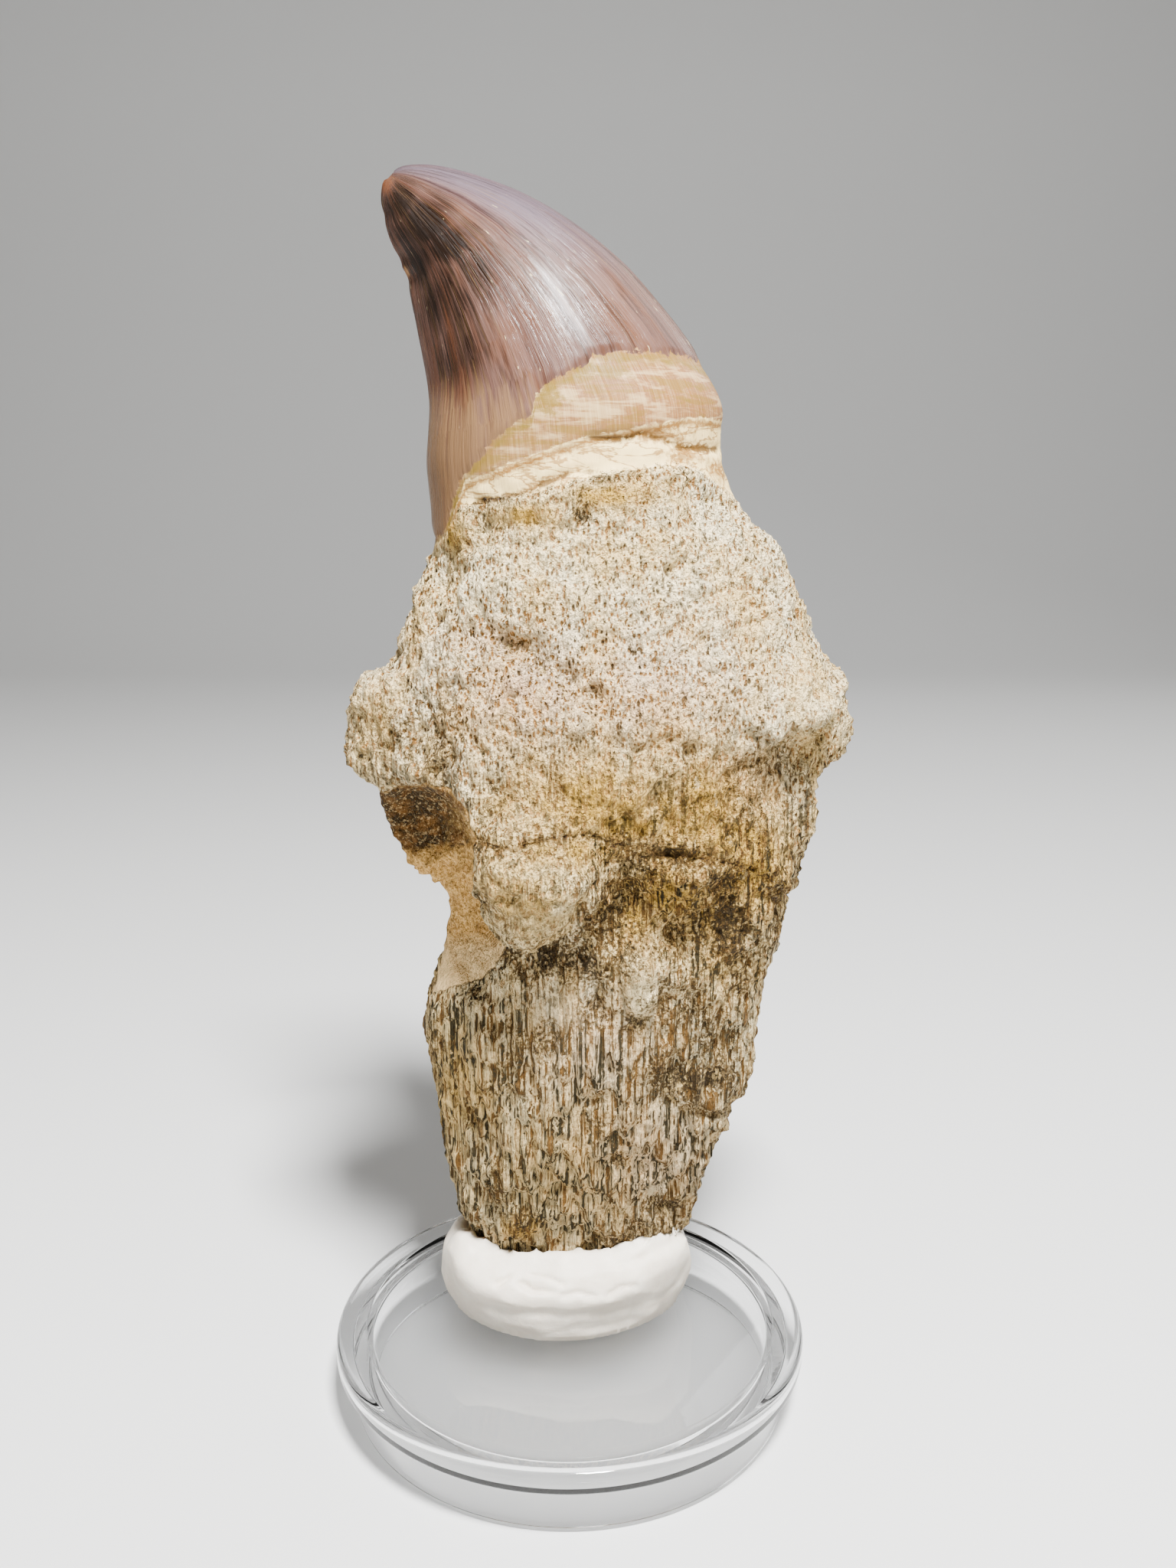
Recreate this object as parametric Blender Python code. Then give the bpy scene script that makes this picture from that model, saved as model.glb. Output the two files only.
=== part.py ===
"""Fossil tooth on its root, held upright by a lump of putty on a clear stepped display base.

Run with: blender --background --python part.py
The tooth, the putty and the base are three objects. Heights count from the underside of the base, and
the widths and depths in the tables from the base's own axis. The front of the tooth faces -Y.
"""

import math
from collections import namedtuple

import bmesh
import bpy
from mathutils import Vector

MM = 0.001

# Clear display base, in millimetres
FLANGE_RADIUS = 25.0
SKIRT_RADIUS = 23.1
SKIRT_WALL = 1.5
WINDOW_RADIUS = 21.2
BASE_HEIGHT = 7.8
FLANGE_THICKNESS = 2.3
WINDOW_RECESS = 0.6
WINDOW_THICKNESS = 1.8
SHOULDER_ROUND = 0.7
FOOT_ROUND = 0.3
RIM_ROUND = 0.2
RIM_SLOPE = 0.1
SMALL_FILLET = 0.4
BASE_STEPS = 48
SEAM_MERGE = 0.00001

# Gap between pieces that touch
CLEARANCE = 0.3
WINDOW_HEIGHT = BASE_HEIGHT - WINDOW_RECESS

# Putty, pressed flat underneath and bulging at half height. Its sides curve as if they closed at the
# virtual foot, below the flat underside.
PUTTY_CENTRE = (-0.5, 4.4)
PUTTY_HALF_WIDTH = 13.9
PUTTY_HALF_DEPTH = 10.4
PUTTY_BULGE_HEIGHT = 11.6
PUTTY_TOP_HEIGHT = 18.6
PUTTY_VIRTUAL_FOOT = 4.6
PUTTY_SMALLEST = 0.05
PUTTY_TILT = 0.05
PUTTY_PROFILE_POWER = 2.5
PUTTY_OUTLINE_POWER = 2.25
PUTTY_RINGS = 9
PUTTY_SIDES = 32

# Tooth
TOOTH_Y = 4.5
TOOTH_SIDES = 96
RINGS_PER_SECTION = 4
FOOT_BOTTOM = 13.0
FOOT_CUTTER_TOP = 26.0
FOOT_CUTTER_SIDES = 32
SURFACE_VOXEL = 0.85
WORN_EDGE_PASSES = 2
TOOTH_TRIANGLES = 6500

# One cross-section: its left and right ends in the photographed plane, how far it reaches to the front
# and to the back of the tooth's middle, and how square its outline is (2 is an ellipse).
Section = namedtuple("Section", "left_x left_z right_x right_z front back square")

ROOT = [
    Section(-9.6, FOOT_BOTTOM, 9.8, FOOT_BOTTOM, 4.4, 5.0, 2.4),
    Section(-11.5, 15.6, 11.6, 15.6, 6.0, 6.6, 2.4),
    Section(-12.4, 19.5, 13.7, 19.5, 7.4, 8.0, 2.4),
    Section(-13.1, 25.0, 15.2, 25.0, 9.4, 9.8, 2.35),
    Section(-13.7, 31.0, 17.2, 31.0, 11.0, 11.4, 2.3),
    Section(-14.9, 37.0, 18.9, 37.0, 12.2, 12.6, 2.25),
    Section(-15.1, 41.0, 19.9, 41.0, 12.8, 13.2, 2.2),
    Section(-13.4, 46.5, 20.9, 46.5, 13.2, 13.8, 2.2),
    Section(-12.8, 51.0, 22.0, 51.0, 13.7, 14.4, 2.2),
    Section(-12.5, 55.2, 23.2, 55.2, 14.4, 15.0, 2.2),
    Section(-15.8, 57.6, 24.0, 57.6, 15.0, 15.4, 2.2),
    Section(-18.4, 61.6, 24.8, 61.6, 16.2, 16.2, 2.2),
    Section(-19.4, 66.0, 25.0, 66.0, 17.0, 16.8, 2.2),
    Section(-18.8, 71.0, 24.8, 71.0, 17.2, 17.0, 2.2),
    Section(-17.8, 76.0, 24.6, 76.0, 16.6, 16.6, 2.2),
    Section(-16.3, 81.0, 23.6, 81.0, 15.6, 15.8, 2.15),
    Section(-14.1, 86.5, 21.8, 86.5, 14.2, 14.6, 2.1),
    Section(-13.0, 90.6, 19.4, 90.6, 13.0, 13.4, 2.05),
]
CROWN = [
    Section(-13.1, 94.4, 16.2, 94.2, 12.2, 12.6, 2.0),
    Section(-13.4, 97.6, 15.0, 98.4, 11.9, 12.2, 2.0),
    Section(-13.1, 100.6, 14.7, 102.4, 11.8, 11.9, 2.0),
    Section(-13.1, 103.2, 13.6, 105.3, 11.2, 11.3, 2.0),
    Section(-13.5, 105.9, 11.3, 108.7, 10.3, 10.4, 2.0),
    Section(-14.0, 108.6, 8.5, 112.1, 9.2, 9.3, 2.0),
    Section(-14.5, 111.4, 5.0, 115.8, 7.9, 8.0, 2.0),
    Section(-15.0, 113.8, 1.2, 118.8, 6.6, 6.7, 2.0),
    Section(-15.7, 116.2, -3.0, 121.3, 5.2, 5.3, 2.0),
    Section(-16.5, 118.2, -7.5, 123.1, 3.8, 3.9, 2.0),
    Section(-17.0, 120.2, -11.5, 124.2, 2.5, 2.6, 2.0),
    Section(-17.3, 121.8, -14.5, 124.5, 1.4, 1.5, 2.0),
    Section(-17.4, 122.8, -16.2, 124.2, 0.6, 0.6, 2.0),
]

# A swelling or hollow on the tooth, in the terms of a ring around it: where it faces (0 is right, -90 the
# front, 180 left), half its width in degrees, how flat its top is (2 is round, 4 is a plateau), the
# heights where it starts and ends and how softly, how far it stands out, and how much higher it starts
# at its sides than in its middle.
Relief = namedtuple("Relief", "facing half_width flat low low_soft high high_soft amount round_foot")

RELIEFS = {
    "front ledge": Relief(-109, 17, 6, 53.4, 1.6, 63.5, 5.0, 3.5, 3.0),
    "second lump": Relief(-69, 12, 3, 56.2, 2.5, 61.5, 4.0, 1.6, 2.5),
    "small lump": Relief(-81, 6, 2, 46.5, 2.0, 50.5, 3.5, 1.4, 2.0),
    "right ledge": Relief(-46, 10, 3, 49.0, 5.0, 60.0, 4.0, 0.9, 2.0),
    "left knob": Relief(180, 25, 3, 66.6, 2.4, 75.2, 3.0, 3.9, 0.0),
    "right knob": Relief(4, 20, 3, 65.5, 4.0, 75.8, 5.0, 3.7, 0.0),
    "right knob lip": Relief(-34, 14, 3, 71.2, 1.6, 75.0, 5.0, 3.2, 0.4),
    "under right knob": Relief(-36, 12, 2, 63.0, 5.0, 70.5, 2.0, -1.2, 0.0),
    "back knob": Relief(96, 30, 2, 62.0, 5.0, 72.0, 6.0, 1.8, 1.0),
    "right chip": Relief(-18, 24, 5, 29.4, 1.6, 34.0, 7.0, 0.7, 0.0),
    "back ridge": Relief(62, 10, 2, 24.0, 8.0, 52.0, 9.0, 1.3, 0.0),
    "back hollow": Relief(118, 16, 2, 30.0, 8.0, 56.0, 8.0, -1.6, 0.0),
    "crown rim": Relief(-20, 75, 4, 99.5, 1.6, 102.0, 4.0, 0.35, 0.0),
    "crown flank": Relief(-150, 26, 2, 101.0, 6.0, 117.0, 5.0, -1.0, 0.0),
    "crown back flank": Relief(40, 30, 2, 101.0, 6.0, 116.0, 5.0, -0.5, 0.0),
}

# Hollows bitten out of the left side, as ellipsoids: centre and half sizes
RESORPTION_PIT = ((-15.1, -9.6, 61.0), (7.2, 10.8, 7.4))
RESORPTION_GROOVE = ((-13.7, -10.5, 52.6), (7.6, 12.4, 10.6))

FINISHES = {
    "tooth": ((0.66, 0.55, 0.40, 1.0), 0.75, 0.0),
    "putty": ((0.83, 0.78, 0.71, 1.0), 0.60, 0.0),
    "display_base": ((0.88, 0.90, 0.93, 0.35), 0.06, 1.0),
}


def clear_scene():
    """Removes every object that the file starts with."""
    for obj in list(bpy.data.objects):
        bpy.data.objects.remove(obj)


def object_from(name, bm):
    """Closes the bmesh and links it to the scene as an object."""
    bmesh.ops.recalc_face_normals(bm, faces=bm.faces)
    mesh = bpy.data.meshes.new(name)
    bm.to_mesh(mesh)
    bm.free()
    obj = bpy.data.objects.new(name, mesh)
    bpy.context.scene.collection.objects.link(obj)
    mesh.shade_smooth()
    return obj


def as_cutter(obj):
    """Marks an object as a helper that only cuts others."""
    obj.hide_render = True
    obj.display_type = "WIRE"
    return obj


def finish(obj):
    """Gives the object its own plain material."""
    colour, roughness, clear = FINISHES[obj.name]
    material = bpy.data.materials.new(obj.name)
    material.use_nodes = True
    shader = material.node_tree.nodes["Principled BSDF"]
    shader.inputs["Base Color"].default_value = colour
    shader.inputs["Roughness"].default_value = roughness
    shader.inputs["Metallic"].default_value = 0.0
    shader.inputs["Transmission Weight"].default_value = clear
    obj.data.materials.append(material)


def add_boolean(obj, other, operation):
    """Adds a live Boolean with another object."""
    modifier = obj.modifiers.new(f"{operation.lower()} {other.name}", "BOOLEAN")
    modifier.operation = operation
    modifier.solver = "EXACT"
    modifier.object = other


def blend_sections(sections, place):
    """The cross-section at a fractional place along the list, on a smooth curve through its neighbours."""
    last = len(sections) - 1
    i = min(int(place), last - 1)
    t = place - i
    before, here, after, beyond = (sections[min(max(k, 0), last)] for k in (i - 1, i, i + 1, i + 2))
    weights = (
        (-t + 2 * t**2 - t**3) / 2,
        (2 - 5 * t**2 + 3 * t**3) / 2,
        (t + 4 * t**2 - 3 * t**3) / 2,
        (-(t**2) + t**3) / 2,
    )
    mixed = [sum(w * v for w, v in zip(weights, values)) for values in zip(before, here, after, beyond)]
    return Section(*mixed)


def smooth_step(value):
    """0 below 0, 1 above 1, and a soft S between."""
    value = min(max(value, 0.0), 1.0)
    return value * value * (3 - 2 * value)


def relief_at(angle, height):
    """How far the surface stands out at this direction, in radians, and height."""
    total = 0.0
    for relief in RELIEFS.values():
        off = (math.degrees(angle) - relief.facing + 180) % 360 - 180
        across = math.exp(-abs(off / relief.half_width) ** relief.flat)
        foot = relief.low + relief.round_foot * (off / relief.half_width) ** 2
        rising = smooth_step((height - foot) / relief.low_soft)
        falling = smooth_step((height - relief.high) / relief.high_soft)
        total += relief.amount * across * rising * (1 - falling)
    return total


def ring_points(section, sides=TOOTH_SIDES, clearance=0.0):
    """The outline of one cross-section, as points in millimetres."""
    left = Vector((section.left_x, TOOTH_Y, section.left_z))
    right = Vector((section.right_x, TOOTH_Y, section.right_z))
    middle, half = (left + right) / 2, (right - left) / 2
    points = []
    for i in range(sides):
        angle = 2 * math.pi * i / sides
        across = math.copysign(abs(math.cos(angle)) ** (2 / section.square), math.cos(angle))
        along = math.copysign(abs(math.sin(angle)) ** (2 / section.square), math.sin(angle))
        reach = section.back if along > 0 else section.front
        offset = half * across + Vector((0, reach * along, 0))
        lift = relief_at(angle, middle.z) + clearance
        points.append(middle + offset * (1 + lift / offset.length))
    return points


def bridge_rings(bm, rings):
    """Makes a closed skin over rings of points: each is bridged to the next, and the ends are filled."""
    loops = []
    for ring in rings:
        verts = [bm.verts.new(point * MM) for point in ring]
        loops.append([bm.edges.new((verts[i - 1], verts[i])) for i in range(len(verts))])
    for lower, upper in zip(loops, loops[1:]):
        bmesh.ops.bridge_loops(bm, edges=lower + upper)
    for end in (loops[0], loops[-1]):
        bmesh.ops.contextual_create(bm, geom=end)
    bmesh.ops.triangulate(bm, faces=[face for face in bm.faces if len(face.verts) > 4])


def tooth_skin():
    """The tooth's outside from foot to tip, before anything is bitten out of it."""
    sections = ROOT + CROWN
    count = (len(sections) - 1) * RINGS_PER_SECTION
    rings = [ring_points(blend_sections(sections, i / RINGS_PER_SECTION)) for i in range(count + 1)]
    bm = bmesh.new()
    bridge_rings(bm, rings)
    return object_from("tooth", bm)


def ellipsoid_cutter(name, hollow):
    """A smooth egg shape that cuts a hollow."""
    centre, half_sizes = hollow
    bm = bmesh.new()
    bmesh.ops.create_icosphere(bm, subdivisions=4, radius=1.0)
    bmesh.ops.scale(bm, vec=Vector(half_sizes) * MM, verts=bm.verts)
    bmesh.ops.translate(bm, vec=Vector(centre) * MM, verts=bm.verts)
    return as_cutter(object_from(name, bm))


def build_tooth():
    """Crown and root in one piece, with the hollows cut and the surface softened."""
    tooth = tooth_skin()
    add_boolean(tooth, ellipsoid_cutter("pit_cutter", RESORPTION_PIT), "DIFFERENCE")
    add_boolean(tooth, ellipsoid_cutter("groove_cutter", RESORPTION_GROOVE), "DIFFERENCE")
    even = tooth.modifiers.new("even surface", "REMESH")
    even.mode = "VOXEL"
    even.voxel_size = SURFACE_VOXEL * MM
    even.use_smooth_shade = True
    soft = tooth.modifiers.new("worn edges", "SMOOTH")
    soft.factor = 0.5
    soft.iterations = WORN_EDGE_PASSES
    bpy.context.view_layer.update()
    even_mesh = tooth.evaluated_get(bpy.context.evaluated_depsgraph_get()).data
    fewer = tooth.modifiers.new("fewer facets", "DECIMATE")
    fewer.ratio = TOOTH_TRIANGLES / (2 * len(even_mesh.polygons))
    finish(tooth)
    return tooth


def foot_cutter():
    """The foot of the root, grown by the gap, which presses its socket into the putty."""
    sections = [section for section in ROOT if section.left_z <= FOOT_CUTTER_TOP]
    count = (len(sections) - 1) * RINGS_PER_SECTION
    rings = [
        ring_points(blend_sections(sections, i / RINGS_PER_SECTION), FOOT_CUTTER_SIDES, CLEARANCE)
        for i in range(count + 1)
    ]
    rings.insert(0, [point - Vector((0, 0, CLEARANCE)) for point in rings[0]])
    bm = bmesh.new()
    bridge_rings(bm, rings)
    return as_cutter(object_from("foot_cutter", bm))


def putty_ring(share):
    """One ring of the putty, at a share of the way from its flat underside to its top."""
    bottom = WINDOW_HEIGHT + CLEARANCE
    height = bottom + share * (PUTTY_TOP_HEIGHT - bottom)
    end = PUTTY_TOP_HEIGHT if height > PUTTY_BULGE_HEIGHT else PUTTY_VIRTUAL_FOOT
    reach = abs(end - PUTTY_BULGE_HEIGHT)
    away = min(abs(height - PUTTY_BULGE_HEIGHT) / reach, 1.0)
    size = max((1 - away**PUTTY_PROFILE_POWER) ** (1 / PUTTY_PROFILE_POWER), PUTTY_SMALLEST)
    ring = []
    for i in range(PUTTY_SIDES):
        angle = 2 * math.pi * i / PUTTY_SIDES
        x, y = (
            math.copysign(abs(value) ** (2 / PUTTY_OUTLINE_POWER), value)
            for value in (math.cos(angle), math.sin(angle))
        )
        x = PUTTY_CENTRE[0] + PUTTY_HALF_WIDTH * size * x
        y = PUTTY_CENTRE[1] + PUTTY_HALF_DEPTH * size * y
        ring.append(Vector((x, y, height + PUTTY_TILT * share * x)))
    return ring


def build_putty():
    """A squeezed lump with a socket where the root stands in it."""
    shares = [0.5 - 0.5 * math.cos(math.pi * i / PUTTY_RINGS) for i in range(PUTTY_RINGS + 1)]
    bm = bmesh.new()
    bridge_rings(bm, [putty_ring(share) for share in shares])
    putty = object_from("putty", bm)
    add_boolean(putty, foot_cutter(), "DIFFERENCE")
    finish(putty)
    return putty


def arc(centre_r, centre_z, radius, start, end, steps=3):
    """Points on a rounded corner of the base's profile, from one direction to another in degrees."""
    angles = [math.radians(start + (end - start) * i / steps) for i in range(steps + 1)]
    return [(centre_r + radius * math.cos(a), centre_z + radius * math.sin(a)) for a in angles]


def base_profile():
    """The base's half section, from the middle of its window, down its outside and back underneath."""
    flange_under = BASE_HEIGHT - FLANGE_THICKNESS
    window_under = WINDOW_HEIGHT - WINDOW_THICKNESS
    skirt_inner = SKIRT_RADIUS - SKIRT_WALL
    rim_inner = WINDOW_RADIUS + WINDOW_RECESS
    return [
        (0.0, WINDOW_HEIGHT),
        (WINDOW_RADIUS, WINDOW_HEIGHT),
        *arc(rim_inner + RIM_SLOPE, BASE_HEIGHT - RIM_ROUND, RIM_ROUND, 180, 90, 2),
        *arc(FLANGE_RADIUS - SHOULDER_ROUND, BASE_HEIGHT - SHOULDER_ROUND, SHOULDER_ROUND, 90, 0),
        *arc(FLANGE_RADIUS - FOOT_ROUND, flange_under + FOOT_ROUND, FOOT_ROUND, 0, -90, 2),
        (SKIRT_RADIUS, flange_under),
        *arc(SKIRT_RADIUS - FOOT_ROUND, FOOT_ROUND, FOOT_ROUND, 0, -90, 2),
        *arc(skirt_inner + FOOT_ROUND, FOOT_ROUND, FOOT_ROUND, -90, -180, 2),
        *arc(skirt_inner - SMALL_FILLET, window_under - SMALL_FILLET, SMALL_FILLET, 0, 90, 2),
        (0.0, window_under),
    ]


def build_display_base():
    """The clear cap: its profile is turned all the way round."""
    bm = bmesh.new()
    verts = [bm.verts.new((r * MM, 0.0, z * MM)) for r, z in base_profile()]
    for first, second in zip(verts, verts[1:]):
        bm.edges.new((first, second))
    mesh = bpy.data.meshes.new("display_base")
    bm.to_mesh(mesh)
    bm.free()
    base = bpy.data.objects.new("display_base", mesh)
    bpy.context.scene.collection.objects.link(base)
    turn = base.modifiers.new("turned", "SCREW")
    turn.steps = BASE_STEPS
    turn.render_steps = BASE_STEPS
    turn.use_merge_vertices = True
    turn.merge_threshold = SEAM_MERGE
    turn.use_smooth_shade = True
    finish(base)
    return base


def centre_on_origin(parts):
    """Hangs the parts from one empty, moved so that the whole stands centred over the origin."""
    bpy.context.view_layer.update()
    graph = bpy.context.evaluated_depsgraph_get()
    corners = [Vector(corner) for part in parts for corner in part.evaluated_get(graph).bound_box]
    middle = [(min(c[k] for c in corners) + max(c[k] for c in corners)) / 2 for k in range(2)]
    stand = bpy.data.objects.new("stand_origin", None)
    bpy.context.scene.collection.objects.link(stand)
    stand.location = (-middle[0], -middle[1], 0.0)
    for obj in list(bpy.context.scene.objects):
        if obj.type == "MESH":
            obj.parent = stand


def main():
    """Builds the three pieces and centres them."""
    clear_scene()
    parts = [build_tooth(), build_putty(), build_display_base()]
    centre_on_origin(parts)


main()
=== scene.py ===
"""Looks of a fossil mosasaur tooth: glossy crown, porous root, putty and a clear stepped display base.

Sizes are millimetres until they reach Blender. Places on the tooth are (x, z) on an upright plane through
its middle, as the camera sees them there, counted from the base's own axis and from its underside.
"""

import logging
import math
from collections.abc import Sequence
from dataclasses import dataclass, field
from enum import Enum

import bpy
import numpy as np
from mathutils import Matrix, Vector, noise
from mathutils.bvhtree import BVHTree

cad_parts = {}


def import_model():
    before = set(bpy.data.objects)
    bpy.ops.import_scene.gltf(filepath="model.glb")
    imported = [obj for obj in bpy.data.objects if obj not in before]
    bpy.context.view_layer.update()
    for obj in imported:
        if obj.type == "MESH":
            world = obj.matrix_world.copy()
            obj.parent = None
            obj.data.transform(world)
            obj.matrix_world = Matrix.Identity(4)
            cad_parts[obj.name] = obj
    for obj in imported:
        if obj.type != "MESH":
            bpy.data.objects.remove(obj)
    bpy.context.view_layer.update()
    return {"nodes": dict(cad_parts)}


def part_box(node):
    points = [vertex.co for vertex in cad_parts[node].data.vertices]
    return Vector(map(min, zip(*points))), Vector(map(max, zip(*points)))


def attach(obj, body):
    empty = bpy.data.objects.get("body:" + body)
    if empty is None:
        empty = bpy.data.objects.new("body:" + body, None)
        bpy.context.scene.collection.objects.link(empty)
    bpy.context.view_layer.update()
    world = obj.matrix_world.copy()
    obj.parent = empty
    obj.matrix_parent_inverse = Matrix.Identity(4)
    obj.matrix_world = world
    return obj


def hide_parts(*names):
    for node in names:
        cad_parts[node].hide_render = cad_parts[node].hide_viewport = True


LOG = logging.getLogger("fossil_tooth")
MM = 0.001

Point = tuple[float, float]
Colour = tuple[float, float, float]
# A soft patch on the tooth: its middle x and z, half its width and height, and its strength
Patch = tuple[float, float, float, float, float]
# The size, layers and seed of a noise
Noise = tuple[float, int, float]


def srgb(red: int, green: int, blue: int) -> Colour:
    """Turns a colour as a paint chart gives it, 0 to 255, into the linear values that shaders use."""
    shares = [part / 255 for part in (red, green, blue)]
    return tuple(s / 12.92 if s <= 0.04 else ((s + 0.055) / 1.055) ** 2.4 for s in shares)


class Space(Enum):
    """What a pattern in a material follows."""

    OBJECT = "object"
    GRAIN = "grain"


class Value:
    """A number inside a shader, on which Python's operators build Math nodes."""

    def __init__(self, graph: "Graph", socket: bpy.types.NodeSocket) -> None:
        """Wraps a socket.

        Args:
            graph: The material's graph, which makes the nodes.
            socket: The output that carries the number.
        """
        self.graph = graph
        self.socket = socket

    def maths(self, operation: str, *others: "Value | float", clamp: bool = False) -> "Value":
        """Adds a Math node.

        Args:
            operation: The Math node's operation.
            others: The values after this one.
            clamp: Whether the result stays within 0 and 1.

        Returns:
            The node's result.
        """
        settings = {"operation": operation, "use_clamp": clamp}
        node = self.graph.node("ShaderNodeMath", settings, dict(enumerate((self, *others))))
        return Value(self.graph, node.outputs[0])

    def __add__(self, other: "Value | float") -> "Value":
        """The sum."""
        return self.maths("ADD", other)

    def __mul__(self, other: "Value | float") -> "Value":
        """The product."""
        return self.maths("MULTIPLY", other)

    def __sub__(self, other: "Value | float") -> "Value":
        """The difference."""
        return self.maths("SUBTRACT", other)

    def __rsub__(self, other: float) -> "Value":
        """The difference from a plain number."""
        return (self * -1.0) + other

    __radd__ = __add__
    __rmul__ = __mul__

    def step(self, middle: float, width: float) -> "Value":
        """A ramp from 0 to 1, as wide as given, with 0.5 at the middle."""
        return self.maths("MULTIPLY_ADD", 1.0 / width, 0.5 - middle / width, clamp=True)

    def fall(self, middle: float, width: float) -> "Value":
        """A ramp from 1 down to 0, as wide as given, with 0.5 at the middle."""
        return 1.0 - self.step(middle, width)

    def line(self, middle: float, width: float) -> "Value":
        """A line of 1 where the value is 0, falling off on both sides."""
        return self.maths("ABSOLUTE").fall(middle, width)

    def ragged(self, cloud: "Value", reach: float) -> "Value":
        """The value with cloudy noise added, so that what is cut from it has a ragged edge."""
        return self + (cloud - 0.5) * reach

    def clamped(self) -> "Value":
        """The value kept within 0 and 1."""
        return self.maths("ADD", 0.0, clamp=True)


class Graph:
    """The node tree of one material, with a Principled shader at its end."""

    def __init__(self, name: str) -> None:
        """Makes the material.

        Args:
            name: The material's name.
        """
        self.material = bpy.data.materials.new(name)
        self.material.use_nodes = True
        self.tree = self.material.node_tree
        self.shader = self.tree.nodes["Principled BSDF"]
        self._attributes: dict[str, tuple[Value, Value, Value]] = {}

    def node(self, kind: str, settings: dict | None = None, values: dict | None = None) -> bpy.types.Node:
        """Adds a node.

        Args:
            kind: The node's type.
            settings: The node's own properties, which are set first.
            values: What each input holds, by name or number: a Value, a socket or a plain value.

        Returns:
            The node.
        """
        node = self.tree.nodes.new(kind)
        for name, value in (settings or {}).items():
            setattr(node, name, value)
        for key, value in (values or {}).items():
            self.feed(node.inputs[key], value)
        return node

    def feed(self, socket: bpy.types.NodeSocket, value: object) -> None:
        """Links a value or a socket to an input, or sets the input to a plain value."""
        if isinstance(value, Value):
            value = value.socket
        if isinstance(value, bpy.types.NodeSocket):
            self.tree.links.new(value, socket)
        elif isinstance(value, tuple) and socket.type == "RGBA":
            socket.default_value = (*value, 1.0)
        else:
            socket.default_value = value

    def set(self, **values: object) -> None:
        """Feeds the Principled shader, with underscores for the spaces in its sockets' names."""
        for name, value in values.items():
            self.feed(self.shader.inputs[name.replace("_", " ")], value)

    def vector(self, space: Space, across: float = 1.0, up: float = 1.0) -> bpy.types.NodeSocket:
        """The place on the piece, in millimetres, stretched by a factor across and upwards."""
        if space is Space.OBJECT:
            source = self.node("ShaderNodeTexCoord").outputs["Object"]
            across, up = across / MM, up / MM
        else:
            source = self.node("ShaderNodeAttribute", {"attribute_name": space.value}).outputs["Vector"]
        values = {"Vector": source, "Scale": (across, across, up)}
        return self.node("ShaderNodeMapping", values=values).outputs[0]

    def noise(
        self,
        size: float,
        detail: float = 3.0,
        roughness: float = 0.55,
        across: float = 1.0,
        up: float = 1.0,
        space: Space = Space.OBJECT,
        warp: float = 0.0,
    ) -> Value:
        """Cloudy noise around 0.5.

        Args:
            size: How large its clouds are, in millimetres.
            detail: How many finer layers it has.
            roughness: How strong they are.
            across: A factor on both level axes: under 1 makes the clouds wider.
            up: A factor on the upright axis: under 1 makes the clouds taller.
            space: What it follows.
            warp: How far it is bent by itself.

        Returns:
            The noise.
        """
        values = {
            "Vector": self.vector(space, across, up),
            "Scale": 1.0 / size,
            "Detail": detail,
            "Roughness": roughness,
            "Distortion": warp,
        }
        return Value(self, self.node("ShaderNodeTexNoise", values=values).outputs[0])

    def cells(self, size: float, up: float) -> Value:
        """The distance to the nearest of many scattered points, about 0 to 1."""
        values = {"Vector": self.vector(Space.OBJECT, up=up), "Scale": 1.0 / size}
        return Value(self, self.node("ShaderNodeTexVoronoi", values=values).outputs["Distance"])

    def height(self) -> Value:
        """The height above the floor, in millimetres."""
        place = self.vector(Space.OBJECT)
        return Value(self, self.node("ShaderNodeSeparateXYZ", values={0: place}).outputs[2])

    def attribute(self, name: str) -> tuple[Value, Value, Value]:
        """The three numbers that the mesh keeps under a name."""
        if name not in self._attributes:
            source = self.node("ShaderNodeAttribute", {"attribute_name": name}).outputs["Vector"]
            parts = self.node("ShaderNodeSeparateXYZ", values={0: source}).outputs
            self._attributes[name] = tuple(Value(self, part) for part in parts)
        return self._attributes[name]

    def mix(self, factor: Value | float, first: object, second: object) -> bpy.types.NodeSocket:
        """The first colour where the factor is 0, and the second where it is 1."""
        node = self.node("ShaderNodeMix", {"data_type": "RGBA"}, {0: factor, 6: first, 7: second})
        return node.outputs[2]

    def coats(self, ground: object, *coats: tuple[Value, object]) -> bpy.types.NodeSocket:
        """Lays colours over each other, as a painter does.

        Args:
            ground: The first colour.
            coats: The later ones in order, each as how much it covers and its colour.

        Returns:
            The colour.
        """
        for cover, colour in coats:
            ground = self.mix(cover, ground, colour)
        return ground

    def bump(self, height: Value, reach: float, strength: float, after: object = None) -> object:
        """A bump from a height of 0 to 1.

        Args:
            height: The height.
            reach: How deep it goes, in millimetres.
            strength: How much of it shows.
            after: The normal it is added to, if any.

        Returns:
            The normal.
        """
        values = {"Height": height, "Distance": reach * MM, "Strength": strength}
        if after is not None:
            values["Normal"] = after
        return self.node("ShaderNodeBump", values=values).outputs[0]


def ramp(value: np.ndarray, start: float, end: float) -> np.ndarray:
    """0 at the start and before it, 1 at the end and past it, and a soft S between."""
    share = np.clip((value - start) / (end - start), 0.0, 1.0)
    return share * share * (3.0 - 2.0 * share)


def blend(ends: Point, share: np.ndarray) -> np.ndarray:
    """The first of two numbers where the share is 0, and the second where it is 1."""
    return ends[0] + (ends[1] - ends[0]) * share


def bell(gap: np.ndarray, width: float) -> np.ndarray:
    """1 where the gap is 0, falling softly to about 0 at twice the width."""
    return np.exp(-((gap / width) ** 2))


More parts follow.
